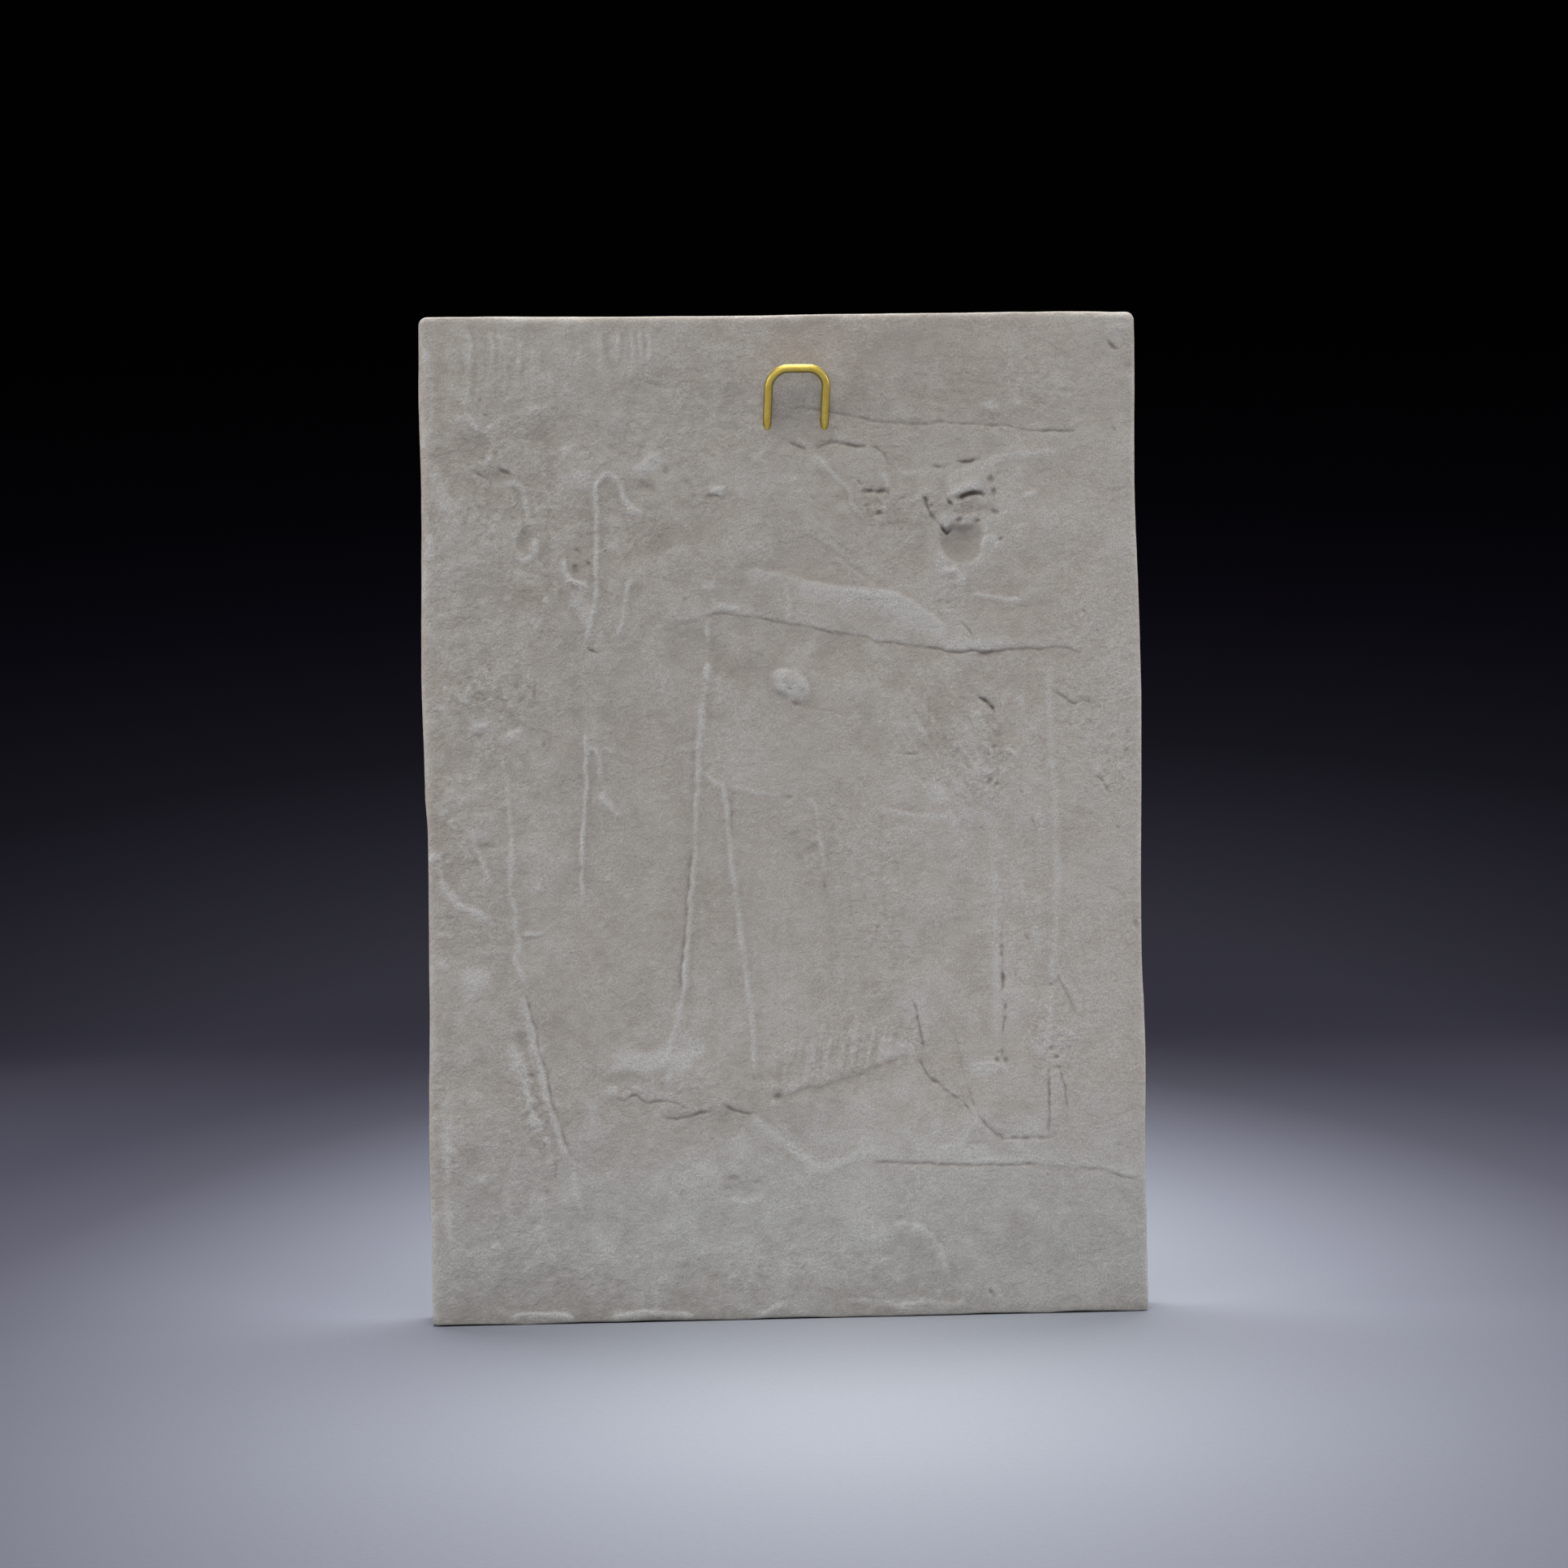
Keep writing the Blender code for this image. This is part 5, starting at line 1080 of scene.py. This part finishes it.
def plaqueMesh(back, front):
    width, height, depth = plaque["width"], plaque["height"], plaque["depth"]
    step = plaque["meshStep"]
    points, faces = boxLattice(
        latticeLines(-width / 2, width / 2, round(width / step)),
        latticeLines(-depth / 2, depth / 2, plaque["sideRows"]),
        latticeLines(-plaque["footCut"], height, round(height / step)),
    )
    low = points.min(axis=0) + plaque["edgeRound"]
    high = points.max(axis=0) - plaque["edgeRound"]
    core = np.clip(points, low, high)
    normal = (points - core) / np.linalg.norm(points - core, axis=1)[:, None]
    points = core + plaque["edgeRound"] * normal
    bent = np.abs(normal[:, 1]) > 0
    ends = np.sign(normal[bent, 1]) * (depth / 2 - plaque["edgeDepth"])
    points[bent, 1] = ends + plaque["edgeDepth"] * normal[bent, 1]
    # the foot has a tighter edge, a little off the floor
    rim = (normal[:, 2] < 0) & (np.abs(normal[:, :2]).sum(axis=1) > 0)
    outward = normal[rim, :2] / np.linalg.norm(normal[rim, :2], axis=1)[:, None]
    points[rim, :2] = core[rim, :2] + (plaque["edgeRound"] - plaque["footRound"]) * outward
    points[rim, :2] += plaque["footRound"] * normal[rim, :2]
    wave = noise(points[rim, 0] + points[rim, 1], points[rim, 1], plaque["footWave"], 95)
    gap = plaque["footGap"] * (1 + wave)
    points[rim, 2] = gap + plaque["footRound"] * (1 + normal[rim, 2])
    x, y, z = points.T
    across, up = x + width / 2, z.copy()
    # cast sides: a little worn and pitted
    side = 1 - normal[:, 1] ** 2
    soft, fine = plaque["wornGrains"]
    wear = noise(x + 3 * y, z + 2 * y, soft, 91) + 0.5 * noise(x - 2 * y, z + 5 * y, fine, 92)
    points -= normal * (plaque["wornRise"] * side * (1 + wear))[:, None]
    toBack, toFront = normal[:, 1] < 0, normal[:, 1] > 0
    y[toBack] -= back.read(back.height, across[toBack], up[toBack]) * normal[toBack, 1] ** 2
    y[toFront] += front.read(front.height, across[toFront], up[toFront]) * normal[toFront, 1] ** 2
    nearSide = eased(1 - (width / 2 - np.abs(x)) / plaque["driftReach"])
    nearTop = eased(1 - (height - z) / plaque["driftReach"])
    upShare, acrossShare = 100 * up / height, 100 * across / width
    toLeft, toRight = drift(upShare, plaque["leftDrift"]), drift(upShare, plaque["rightDrift"])
    x += nearSide * np.where(x < 0, -toLeft, toRight)
    z += nearTop * drift(acrossShare, plaque["topDrift"])
    z[:] = np.maximum(z, 0)
    return meshOf("plasterPlaque", points, faces)


def thinned(thing, triangles):
    # fewer faces where the surface is flat, and the modifier's result kept as the mesh
    faces = sum(len(p.vertices) - 2 for p in thing.data.polygons)
    if faces > triangles:
        thin = thing.modifiers.new("thin", "DECIMATE")
        thin.ratio = triangles / faces
        done = bpy.data.meshes.new_from_object(thing.evaluated_get(bpy.context.evaluated_depsgraph_get()))
        thing.modifiers.clear()
        thing.data = done


# the relief is painted into the colour as well: paler on crests (painted highlight) and darker in dips
# (painted shade)
crestAndDipShading = {
    "broadReach": 7 * mm,  # a crest or a dip is measured against the mean this far around it
    "fineReach": 2 * mm,
    "deepest": -0.15 * mm,
    "highest": 0.5 * mm,
    "fineRise": 0.11 * mm,  # a fine crest of this rise counts as 1
    "broadMost": 0.3,
    "most": 2,
}


def addSurfaceNotes(mesh, back, front):
    # what the finish reads at each vertex: crest (+) or dip (-), which is painted highlight and painted shade
    # from the relief added to the tints, the painted shade of cracks, roughness, drag marks
    count = len(mesh.vertices)
    places = np.empty(count * 3, np.float32)
    mesh.vertices.foreach_get("co", places)
    x, y, z = places.reshape(-1, 3).T.astype(float)
    across = x + plaque["width"] / 2
    values = {name: np.zeros(count) for name in ("crest", "crack", "rough", "dragged")}
    for sheet, chosen in ((back, y < -0.4 * plaque["depth"]), (front, y > 0.3 * plaque["depth"])):
        # painted highlight and shade: what stands above its surroundings reads paler, what lies below reads
        # darker
        broad = sheet.height - blurred(sheet.height, crestAndDipShading["broadReach"] / sheet.step)
        broad = np.clip(broad, crestAndDipShading["deepest"], crestAndDipShading["highest"])
        fine = broad - blurred(broad, crestAndDipShading["fineReach"] / sheet.step)
        gentle = np.clip(broad / mm, -crestAndDipShading["broadMost"], crestAndDipShading["broadMost"])
        crest = np.clip(fine / crestAndDipShading["fineRise"] + gentle + sheet.tone, -crestAndDipShading["most"], crestAndDipShading["most"])
        values["crest"][chosen] = sheet.read(crest, across[chosen], z[chosen])
        for name, grid in (("crack", sheet.cracked), ("rough", sheet.rough), ("dragged", sheet.dragged)):
            values[name][chosen] = sheet.read(grid, across[chosen], z[chosen])
    for name, value in values.items():
        mesh.attributes.new(name, "FLOAT", "POINT").data.foreach_set("value", value.astype(np.float32))


def loopLine():
    bend = loop["perBend"]
    half, shoulder = loop["width"] / 2 - loop["shoulder"], loop["rise"] - loop["shoulder"]
    turn = np.linspace(0, math.pi / 2, bend)
    right = loop["shoulder"] * np.stack([np.cos(turn), np.sin(turn)], axis=1) + (half, shoulder)
    leg = np.array([[loop["width"] / 2, shoulder * share] for share in np.linspace(0, 1, 10)[:-1]])
    across, up = np.vstack([leg, right, right[::-1] * (-1, 1), leg[::-1] * (-1, 1)]).T
    share = up / loop["rise"]
    footLevel = plaque["height"] - loop["drop"] - loop["rise"]
    backFace = -plaque["depth"] / 2
    middle = loop["offset"] + loop["skew"] * share
    above = np.stack([middle + across, backFace - loop["lean"] * share, footLevel + up], axis=1)
    lean = math.atan2(loop["lean"], loop["rise"])
    turn = np.linspace(lean, loop["footTurn"], bend)[1:]
    inward = np.append(loop["footBend"] * (math.cos(lean) - np.cos(turn)), 0)
    down = np.append(loop["footBend"] * (np.sin(turn) - math.sin(lean)), 0)
    inward[-1] = inward[-2] + loop["footEnd"] * math.sin(loop["footTurn"])
    down[-1] = down[-2] + loop["footEnd"] * math.cos(loop["footTurn"])
    right, left = (
        np.stack([0 * down + loop["offset"] + width / 2, backFace + inward, footLevel - down], axis=1)
        for width in (loop["width"], -loop["width"])
    )
    return np.vstack([right[::-1], above, left])


def wireMesh():
    line = loopLine()
    tangents = np.gradient(line, axis=0)
    tangents /= np.linalg.norm(tangents, axis=1)[:, None]
    sideways = np.cross(tangents[0], (0, 0, 1))
    angles = np.linspace(0, 2 * math.pi, loop["sides"], endpoint=False)
    rings = []
    for centre, tangent in zip(line, tangents):
        sideways = sideways - tangent * (sideways @ tangent)
        sideways /= np.linalg.norm(sideways)
        upright = np.cross(tangent, sideways)
        ring = np.outer(np.cos(angles), sideways) + np.outer(np.sin(angles), upright)
        rings.append(centre + loop["wireRadius"] * ring)
    points = np.vstack(rings + [line[:1], line[-1:]])
    sides, count = loop["sides"], len(rings)
    faces = []
    for ring in range(count - 1):
        for side in range(sides):
            after = (side + 1) % sides
            a, b = ring * sides + side, ring * sides + after
            faces += [(a, b, b + sides), (a, b + sides, a + sides)]
    for side in range(sides):
        after = (side + 1) % sides
        faces.append((after, side, count * sides))
        faces.append(((count - 1) * sides + side, (count - 1) * sides + after, count * sides + 1))
    return meshOf("wireLoop", points, np.array(faces))


class Channel:
    # a socket in a material, so that shader sums read as plain Python
    def __init__(self, finish, socket):
        self.finish, self.socket = finish, socket

    def sum(self, operation, first, second):
        return self.finish.node("ShaderNodeMath", {"operation": operation}, {0: first, 1: second})

    def __add__(self, other):
        return self.sum("ADD", self, other)

    def __mul__(self, other):
        return self.sum("MULTIPLY", self, other)

    __radd__, __rmul__ = __add__, __mul__


class Finish:
    # one material, with its noises and mixes placed in the object's own metres
    def __init__(self, name):
        self.material = bpy.data.materials.new(name)
        self.material.use_nodes = True
        self.tree = self.material.node_tree
        self.shader = self.tree.nodes["Principled BSDF"]
        self.place = self.node("ShaderNodeTexCoord", output="Object")

    def join(self, socket, value):
        if isinstance(value, Channel):
            self.tree.links.new(value.socket, socket)
        else:
            socket.default_value = value

    def node(self, kind, settings=None, sockets=None, output=0):
        made = self.tree.nodes.new(kind)
        for key, value in (settings or {}).items():
            if key == "stops":
                ramp = made.color_ramp.elements
                while len(ramp) < len(value):
                    ramp.new(0.5)
                for stop, (place, colour) in zip(ramp, value):
                    stop.position, stop.color = place, (*colour, 1)
            else:
                setattr(made, key, value)
        for key, value in (sockets or {}).items():
            self.join(made.inputs[key], value)
        return Channel(self, made.outputs[output])

    def feed(self, socket, value):
        self.join(self.shader.inputs[socket], value)

    def clouds(self, size, detail=3.0, rough=0.55, warp=0.0):
        # noise of about this size in metres, from 0 to 1
        sockets = {
            "Vector": self.place, "Scale": 1 / size, "Detail": detail, "Roughness": rough, "Distortion": warp,
        }
        return self.node("ShaderNodeTexNoise", {}, sockets, "Fac")

    def streaks(self, size, stretch):
        # the same, drawn out: stretch holds a factor for each axis
        drawn = self.node("ShaderNodeVectorMath", {"operation": "MULTIPLY"}, {0: self.place, 1: stretch})
        return self.node("ShaderNodeTexNoise", {}, {"Vector": drawn, "Scale": 1 / size, "Detail": 2.0}, "Fac")

    def along(self, axis, vector=None):
        return self.node("ShaderNodeSeparateXYZ", {}, {0: vector or self.place}, axis)

    def ranged(self, value, low, high, to=(0.0, 1.0)):
        sockets = {"Value": value, "From Min": low, "From Max": high, "To Min": to[0], "To Max": to[1]}
        return self.node("ShaderNodeMapRange", {"clamp": True}, sockets, "Result")

    def noted(self, name):
        return self.node("ShaderNodeAttribute", {"attribute_name": name}, output="Fac")

    def mixed(self, share, first, second):
        return self.node("ShaderNodeMix", {"data_type": "RGBA"}, {0: share, 6: first, 7: second}, 2)


def colour(*screen):
    # screen colour, 0 to 255, as the linear one that a socket holds
    shares = (value / 255 for value in screen)
    return (*(c / 12.92 if c < 0.0405 else ((c + 0.055) / 1.055) ** 2.4 for c in shares), 1.0)


plasterLook = {
    "warm": colour(194, 184, 173),
    "cool": colour(203, 197, 189),
    "pale": colour(236, 226, 216),
    "lower": colour(194, 193, 189),
    # crest is the pale of the flecks and of the painted highlight on crests; dip is the grey of blotches,
    # grain and the darker foot, and the painted shade in dips; crack is the painted shade in cracks
    "crest": colour(229, 230, 228),
    "dip": colour(158, 150, 141),
    "crack": colour(84, 76, 68),
    "patchSize": 45 * mm,
    "blotchSize": 11 * mm,
    "fleckSize": 2.2 * mm,
    "grainSize": 0.42 * mm,
    "lumpSize": 2.4 * mm,
    "streakSize": 1.1 * mm,
    "paleShare": 0.28,  # of the right-hand side
    "footDarkShare": 0.65,  # of the very foot
    "blotchShare": 0.2,
    "fleckShare": 0.34,
    "crestHighlightShare": 0.7,
    "dipShadeShare": 0.6,
    "grainShare": 0.55,
    "crackShare": 0.75,
    "roughness": (0.84, 0.95),
    "specular": 0.25,
    "bump": 1 * mm,
}


def plasterFinish():
    look = plasterLook
    plaster = Finish("plaster")
    patches = plaster.ranged(plaster.clouds(look["patchSize"], 3.0, 0.6, 0.4), 0.35, 0.65)
    blotches = plaster.ranged(plaster.clouds(look["blotchSize"], 5.0, 0.62, 0.3), 0.38, 0.66)
    flecks = plaster.ranged(plaster.clouds(look["fleckSize"], 3.0, 0.7), 0.4, 0.72)
    grain = plaster.clouds(look["grainSize"], 1.0, 0.6)
    # the right is paler, the lower part greyer, and darker at the very foot
    across = plaster.along("X") + patches * (15 * mm)
    level = plaster.along("Z") + patches * (20 * mm)
    pale = plaster.ranged(across, -15 * mm, 80 * mm, (0.0, look["paleShare"]))
    darkerFoot = plaster.ranged(level, 24 * mm, 6 * mm, (0.0, look["footDarkShare"]))
    body = plaster.mixed(patches, look["warm"], look["cool"])
    body = plaster.mixed(pale, body, look["pale"])
    body = plaster.mixed(plaster.ranged(level, 78 * mm, 35 * mm), body, look["lower"])
    body = plaster.mixed(darkerFoot, body, look["dip"])
    body = plaster.mixed(blotches * look["blotchShare"], body, look["dip"])
    body = plaster.mixed(flecks * look["fleckShare"], body, look["crest"])
    # painted highlight on crests and painted shade in dips, from the crest attribute, which also carries the
    # paler and darker tints
    crest, crack = plaster.noted("crest"), plaster.noted("crack")
    body = plaster.mixed(plaster.ranged(crest, 0.0, 1.8, (0.0, look["crestHighlightShare"])), body, look["crest"])
    body = plaster.mixed(plaster.ranged(crest * -1, 0.0, 1.8, (0.0, look["dipShadeShare"])), body, look["dip"])
    body = plaster.mixed(plaster.ranged(grain, 0.3, 0.7, (0.0, look["grainShare"])), body, look["dip"])
    # painted shade in the cracks
    body = plaster.mixed(plaster.ranged(crack, 0.1, 0.8, (0.0, look["crackShare"])), body, look["crack"])
    plaster.feed("Base Color", body)
    plaster.feed("Roughness", plaster.ranged(blotches, 0, 1, look["roughness"]))
    plaster.feed("Specular IOR Level", look["specular"])
    # fine lumps everywhere, coarser where the plaster is torn, upright streaks where it was dragged
    rough, dragged = plaster.noted("rough"), plaster.noted("dragged")
    lumps = plaster.clouds(look["lumpSize"], 4.0, 0.65, 0.3) * (rough * 0.9 + 0.95)
    streaks = plaster.streaks(look["streakSize"], (1.0, 1.0, 0.22)) * (dragged * 0.6 + 0.08)
    height = lumps * 0.5 + streaks * 0.35 + grain * 0.1
    bump = plaster.node("ShaderNodeBump", {}, {"Strength": 1.0, "Distance": look["bump"], "Height": height})
    plaster.feed("Normal", bump)
    return plaster.material


brassLook = {
    "bright": colour(253, 228, 112),
    "worn": colour(246, 212, 88),
    "dark": colour(150, 120, 38),
    # the colour of the painted shade on the wire's sides
    "paintedSideShade": colour(92, 76, 28),
    "metallic": 0.5,
    "lacquer": 0.35,
    "lacquerRoughness": 0.12,
    "patchSize": 2.2 * mm,
    "scratchSize": 0.25 * mm,
    "scratchShare": 0.45,
    "paintedSideShadeShare": 0.85,
    "roughness": (0.4, 0.55),
    "bump": 0.05 * mm,
}


def brassFinish():
    look = brassLook
    brass = Finish("brass")
    brass.feed("Metallic", look["metallic"])
    brass.feed("Coat Weight", look["lacquer"])
    brass.feed("Coat Roughness", look["lacquerRoughness"])
    patches = brass.ranged(brass.clouds(look["patchSize"], 3.0, 0.6), 0.4, 0.65)
    drawn = brass.streaks(look["scratchSize"], (1.0, 1.0, 0.12))
    body = brass.mixed(patches, look["worn"], look["bright"])
    body = brass.mixed(brass.ranged(drawn, 0.55, 0.8, (0.0, look["scratchShare"])), body, look["dark"])
    # painted shade: the wire is darkened on all but the faces that look outwards and up, where the lamps and
    # their reflections fall
    facing = brass.node("ShaderNodeTexCoord", output="Normal")
    outward, upward = brass.along("Y", facing) * -1, brass.along("Z", facing)
    facesOutOrUp = brass.node("ShaderNodeMath", {"operation": "MAXIMUM"}, {0: outward, 1: upward})
    body = brass.mixed(brass.ranged(facesOutOrUp, 0.9, 0.5, (0.0, look["paintedSideShadeShare"])), body, look["paintedSideShade"])
    brass.feed("Base Color", body)
    brass.feed("Roughness", brass.ranged(drawn, 0.3, 0.7, look["roughness"]))
    bump = brass.node("ShaderNodeBump", {}, {"Strength": 0.2, "Distance": look["bump"], "Height": drawn})
    brass.feed("Normal", bump)
    return brass.material


studio = {
    "flat": 1.35,  # radius of the level floor
    "curve": 1.1,  # radius of the curve up to the wall
    "height": 2.2,
    "pool": (0.02, 0.02, 0.0),  # middle of the pool of light painted on the floor
    "poolTurn": math.radians(-4),
    "poolReach": (0.176, 0.656, 0.047),
    "room": colour(1, 1, 2),
    "aim": (0, 0, 0.12),  # what the lamps point at
    "cornerRows": 16,
    "around": 96,
}
# name: place, size across and up, power
lamps = {
    "key": ((-0.08, -1.41, 2.8), (2.0, 2.0), 46.0),
    "fill": ((-0.1, -1.65, 0.75), (2.8, 1.2), 7.5),
    "hair": ((0.0, 0.37, 1.25), (0.8, 0.75), 20.0),
    "left": ((-0.95, -0.13, 0.4), (0.5, 0.5), 4.0),
    "right": ((0.95, 0.0, 0.4), (0.5, 0.5), 4.0),
}
# the painted pool of light on the paper, from its middle outwards: reaches, red, green, blue
paintedPoolFade = [
    (0.0, 172, 175, 183),
    (0.3, 161, 165, 174),
    (0.95, 120, 122, 133),
    (1.65, 79, 79, 90),
    (2.1, 69, 68, 80),
    (3.0, 70, 69, 81),
    (5.2, 37, 36, 46),
    (7.5, 21, 19, 28),
    (9.5, 10, 9, 14),
    (12.0, 5, 5, 8),
    (15.0, 3, 3, 4),
]


def shown(name, mesh):
    thing = bpy.data.objects.new(name, mesh)
    bpy.context.scene.collection.objects.link(thing)
    return thing


def smooth(mesh):
    mesh.polygons.foreach_set("use_smooth", np.ones(len(mesh.polygons), bool))


def studioFloor():
    # a round floor that curves up into a wall, with a painted pool of light: pale in the middle, fading to
    # near black
    flat, curve, around = studio["flat"], studio["curve"], studio["around"]
    profile = [(flat / 2, 0.0)]
    for turn in np.linspace(0, math.pi / 2, studio["cornerRows"]):
        profile.append((flat + curve * math.sin(turn), curve * (1 - math.cos(turn))))
    profile.append((profile[-1][0], studio["height"]))
    turns = np.linspace(0, 2 * math.pi, around, endpoint=False)
    points = [(r * math.cos(turn), r * math.sin(turn), z) for r, z in profile for turn in turns]
    points.append((0, 0, 0))
    faces = []
    for ring in range(len(profile) - 1):
        for side in range(around):
            after = (side + 1) % around
            a, b = ring * around + side, ring * around + after
            faces += [(b, a, a + around), (b, a + around, b + around)]
    faces += [(side, (side + 1) % around, len(points) - 1) for side in range(around)]
    floor = shown("studioFloor", meshOf("studioFloor", np.array(points), np.array(faces)))
    smooth(floor.data)
    paper = Finish("floorWithPaintedPool")
    paper.feed("Roughness", 0.85)
    paper.feed("Specular IOR Level", 0)
    lying = {
        "Vector": paper.place, "Location": studio["pool"], "Rotation": (0, 0, studio["poolTurn"]),
        "Scale": studio["poolReach"],
    }
    reaches = paper.node("ShaderNodeMapping", {"vector_type": "TEXTURE"}, lying)
    away = paper.node("ShaderNodeVectorMath", {"operation": "LENGTH"}, {0: reaches}, "Value")
    # a ramp mixes light and the fade is even to the eye, so each span gets two more stops
    knots = np.arange(len(paintedPoolFade))
    finer = np.linspace(0, knots[-1], 3 * knots[-1] + 1)
    rows = np.transpose([np.interp(finer, knots, column) for column in zip(*paintedPoolFade)])
    last = paintedPoolFade[-1][0]
    stops = [(place / last, colour(*shade)[:3]) for place, *shade in rows]
    # painted light: the floor's colour fades from the pool's middle outwards
    fade = paper.node("ShaderNodeValToRGB", {"stops": stops}, {0: away * (1 / last)}, "Color")
    fibres = paper.ranged(paper.clouds(1.5 * mm, 2.0), 0.3, 0.7, (0.0, 0.05))
    paper.feed("Base Color", paper.mixed(fibres, fade, colour(0, 0, 0)))
    floor.data.materials.append(paper.material)
    return floor


def lightStudio():
    for name, (place, size, power) in lamps.items():
        lamp = bpy.data.lights.new(name, "AREA")
        lamp.shape, lamp.energy = "ELLIPSE", power
        lamp.size, lamp.size_y = size
        light = bpy.data.objects.new(name, lamp)
        light.location = place
        light.rotation_euler = (Vector(studio["aim"]) - Vector(place)).to_track_quat("-Z", "Y").to_euler()
        bpy.context.scene.collection.objects.link(light)
    world = bpy.data.worlds.new("room")
    world.use_nodes = True
    world.node_tree.nodes["Background"].inputs["Color"].default_value = studio["room"]
    bpy.context.scene.world = world
    bpy.context.scene.view_settings.view_transform = "Standard"


view = {
    "turn": math.radians(3.4),  # how far round to the left the camera stands
    "aim": math.radians(3.387),  # the way it looks
    "roll": math.radians(0.84),
    "distance": 1.2,
    "height": 0.1581,
    "lens": 93.26,
}


def placeCamera():
    data = bpy.data.cameras.new("camera")
    data.lens, data.sensor_width = view["lens"], 36
    camera = bpy.data.objects.new("camera", data)
    turn, out = view["turn"], view["distance"]
    camera.location = (-out * math.sin(turn), -plaque["depth"] / 2 - out * math.cos(turn), view["height"])
    look = Vector((math.sin(view["aim"]), math.cos(view["aim"]), 0))
    camera.rotation_mode = "QUATERNION"
    camera.rotation_quaternion = Quaternion(look, view["roll"]) @ look.to_track_quat("-Z", "Y")
    bpy.context.scene.collection.objects.link(camera)
    bpy.context.scene.camera = camera


print("carving the two faces")
back, front = trowelledBack(), carvedFront()
print("building the plaque")
plasterPlaque = shown("plasterPlaque", plaqueMesh(back, front))
thinned(plasterPlaque, plaque["triangles"])
addSurfaceNotes(plasterPlaque.data, back, front)
smooth(plasterPlaque.data)
plasterPlaque.data.materials.clear()
plasterPlaque.data.materials.append(plasterFinish())
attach(plasterPlaque, "root")
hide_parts("plaster_plaque")
print("plaque:", len(plasterPlaque.data.polygons), "faces")

wireLoop = shown("wireLoop", wireMesh())
smooth(wireLoop.data)
wireLoop.data.materials.append(brassFinish())
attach(wireLoop, "root")
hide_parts("hanging_loop")
print("wire loop:", len(wireLoop.data.polygons), "faces")

print("studio and camera")
studioFloor()
lightStudio()
placeCamera()
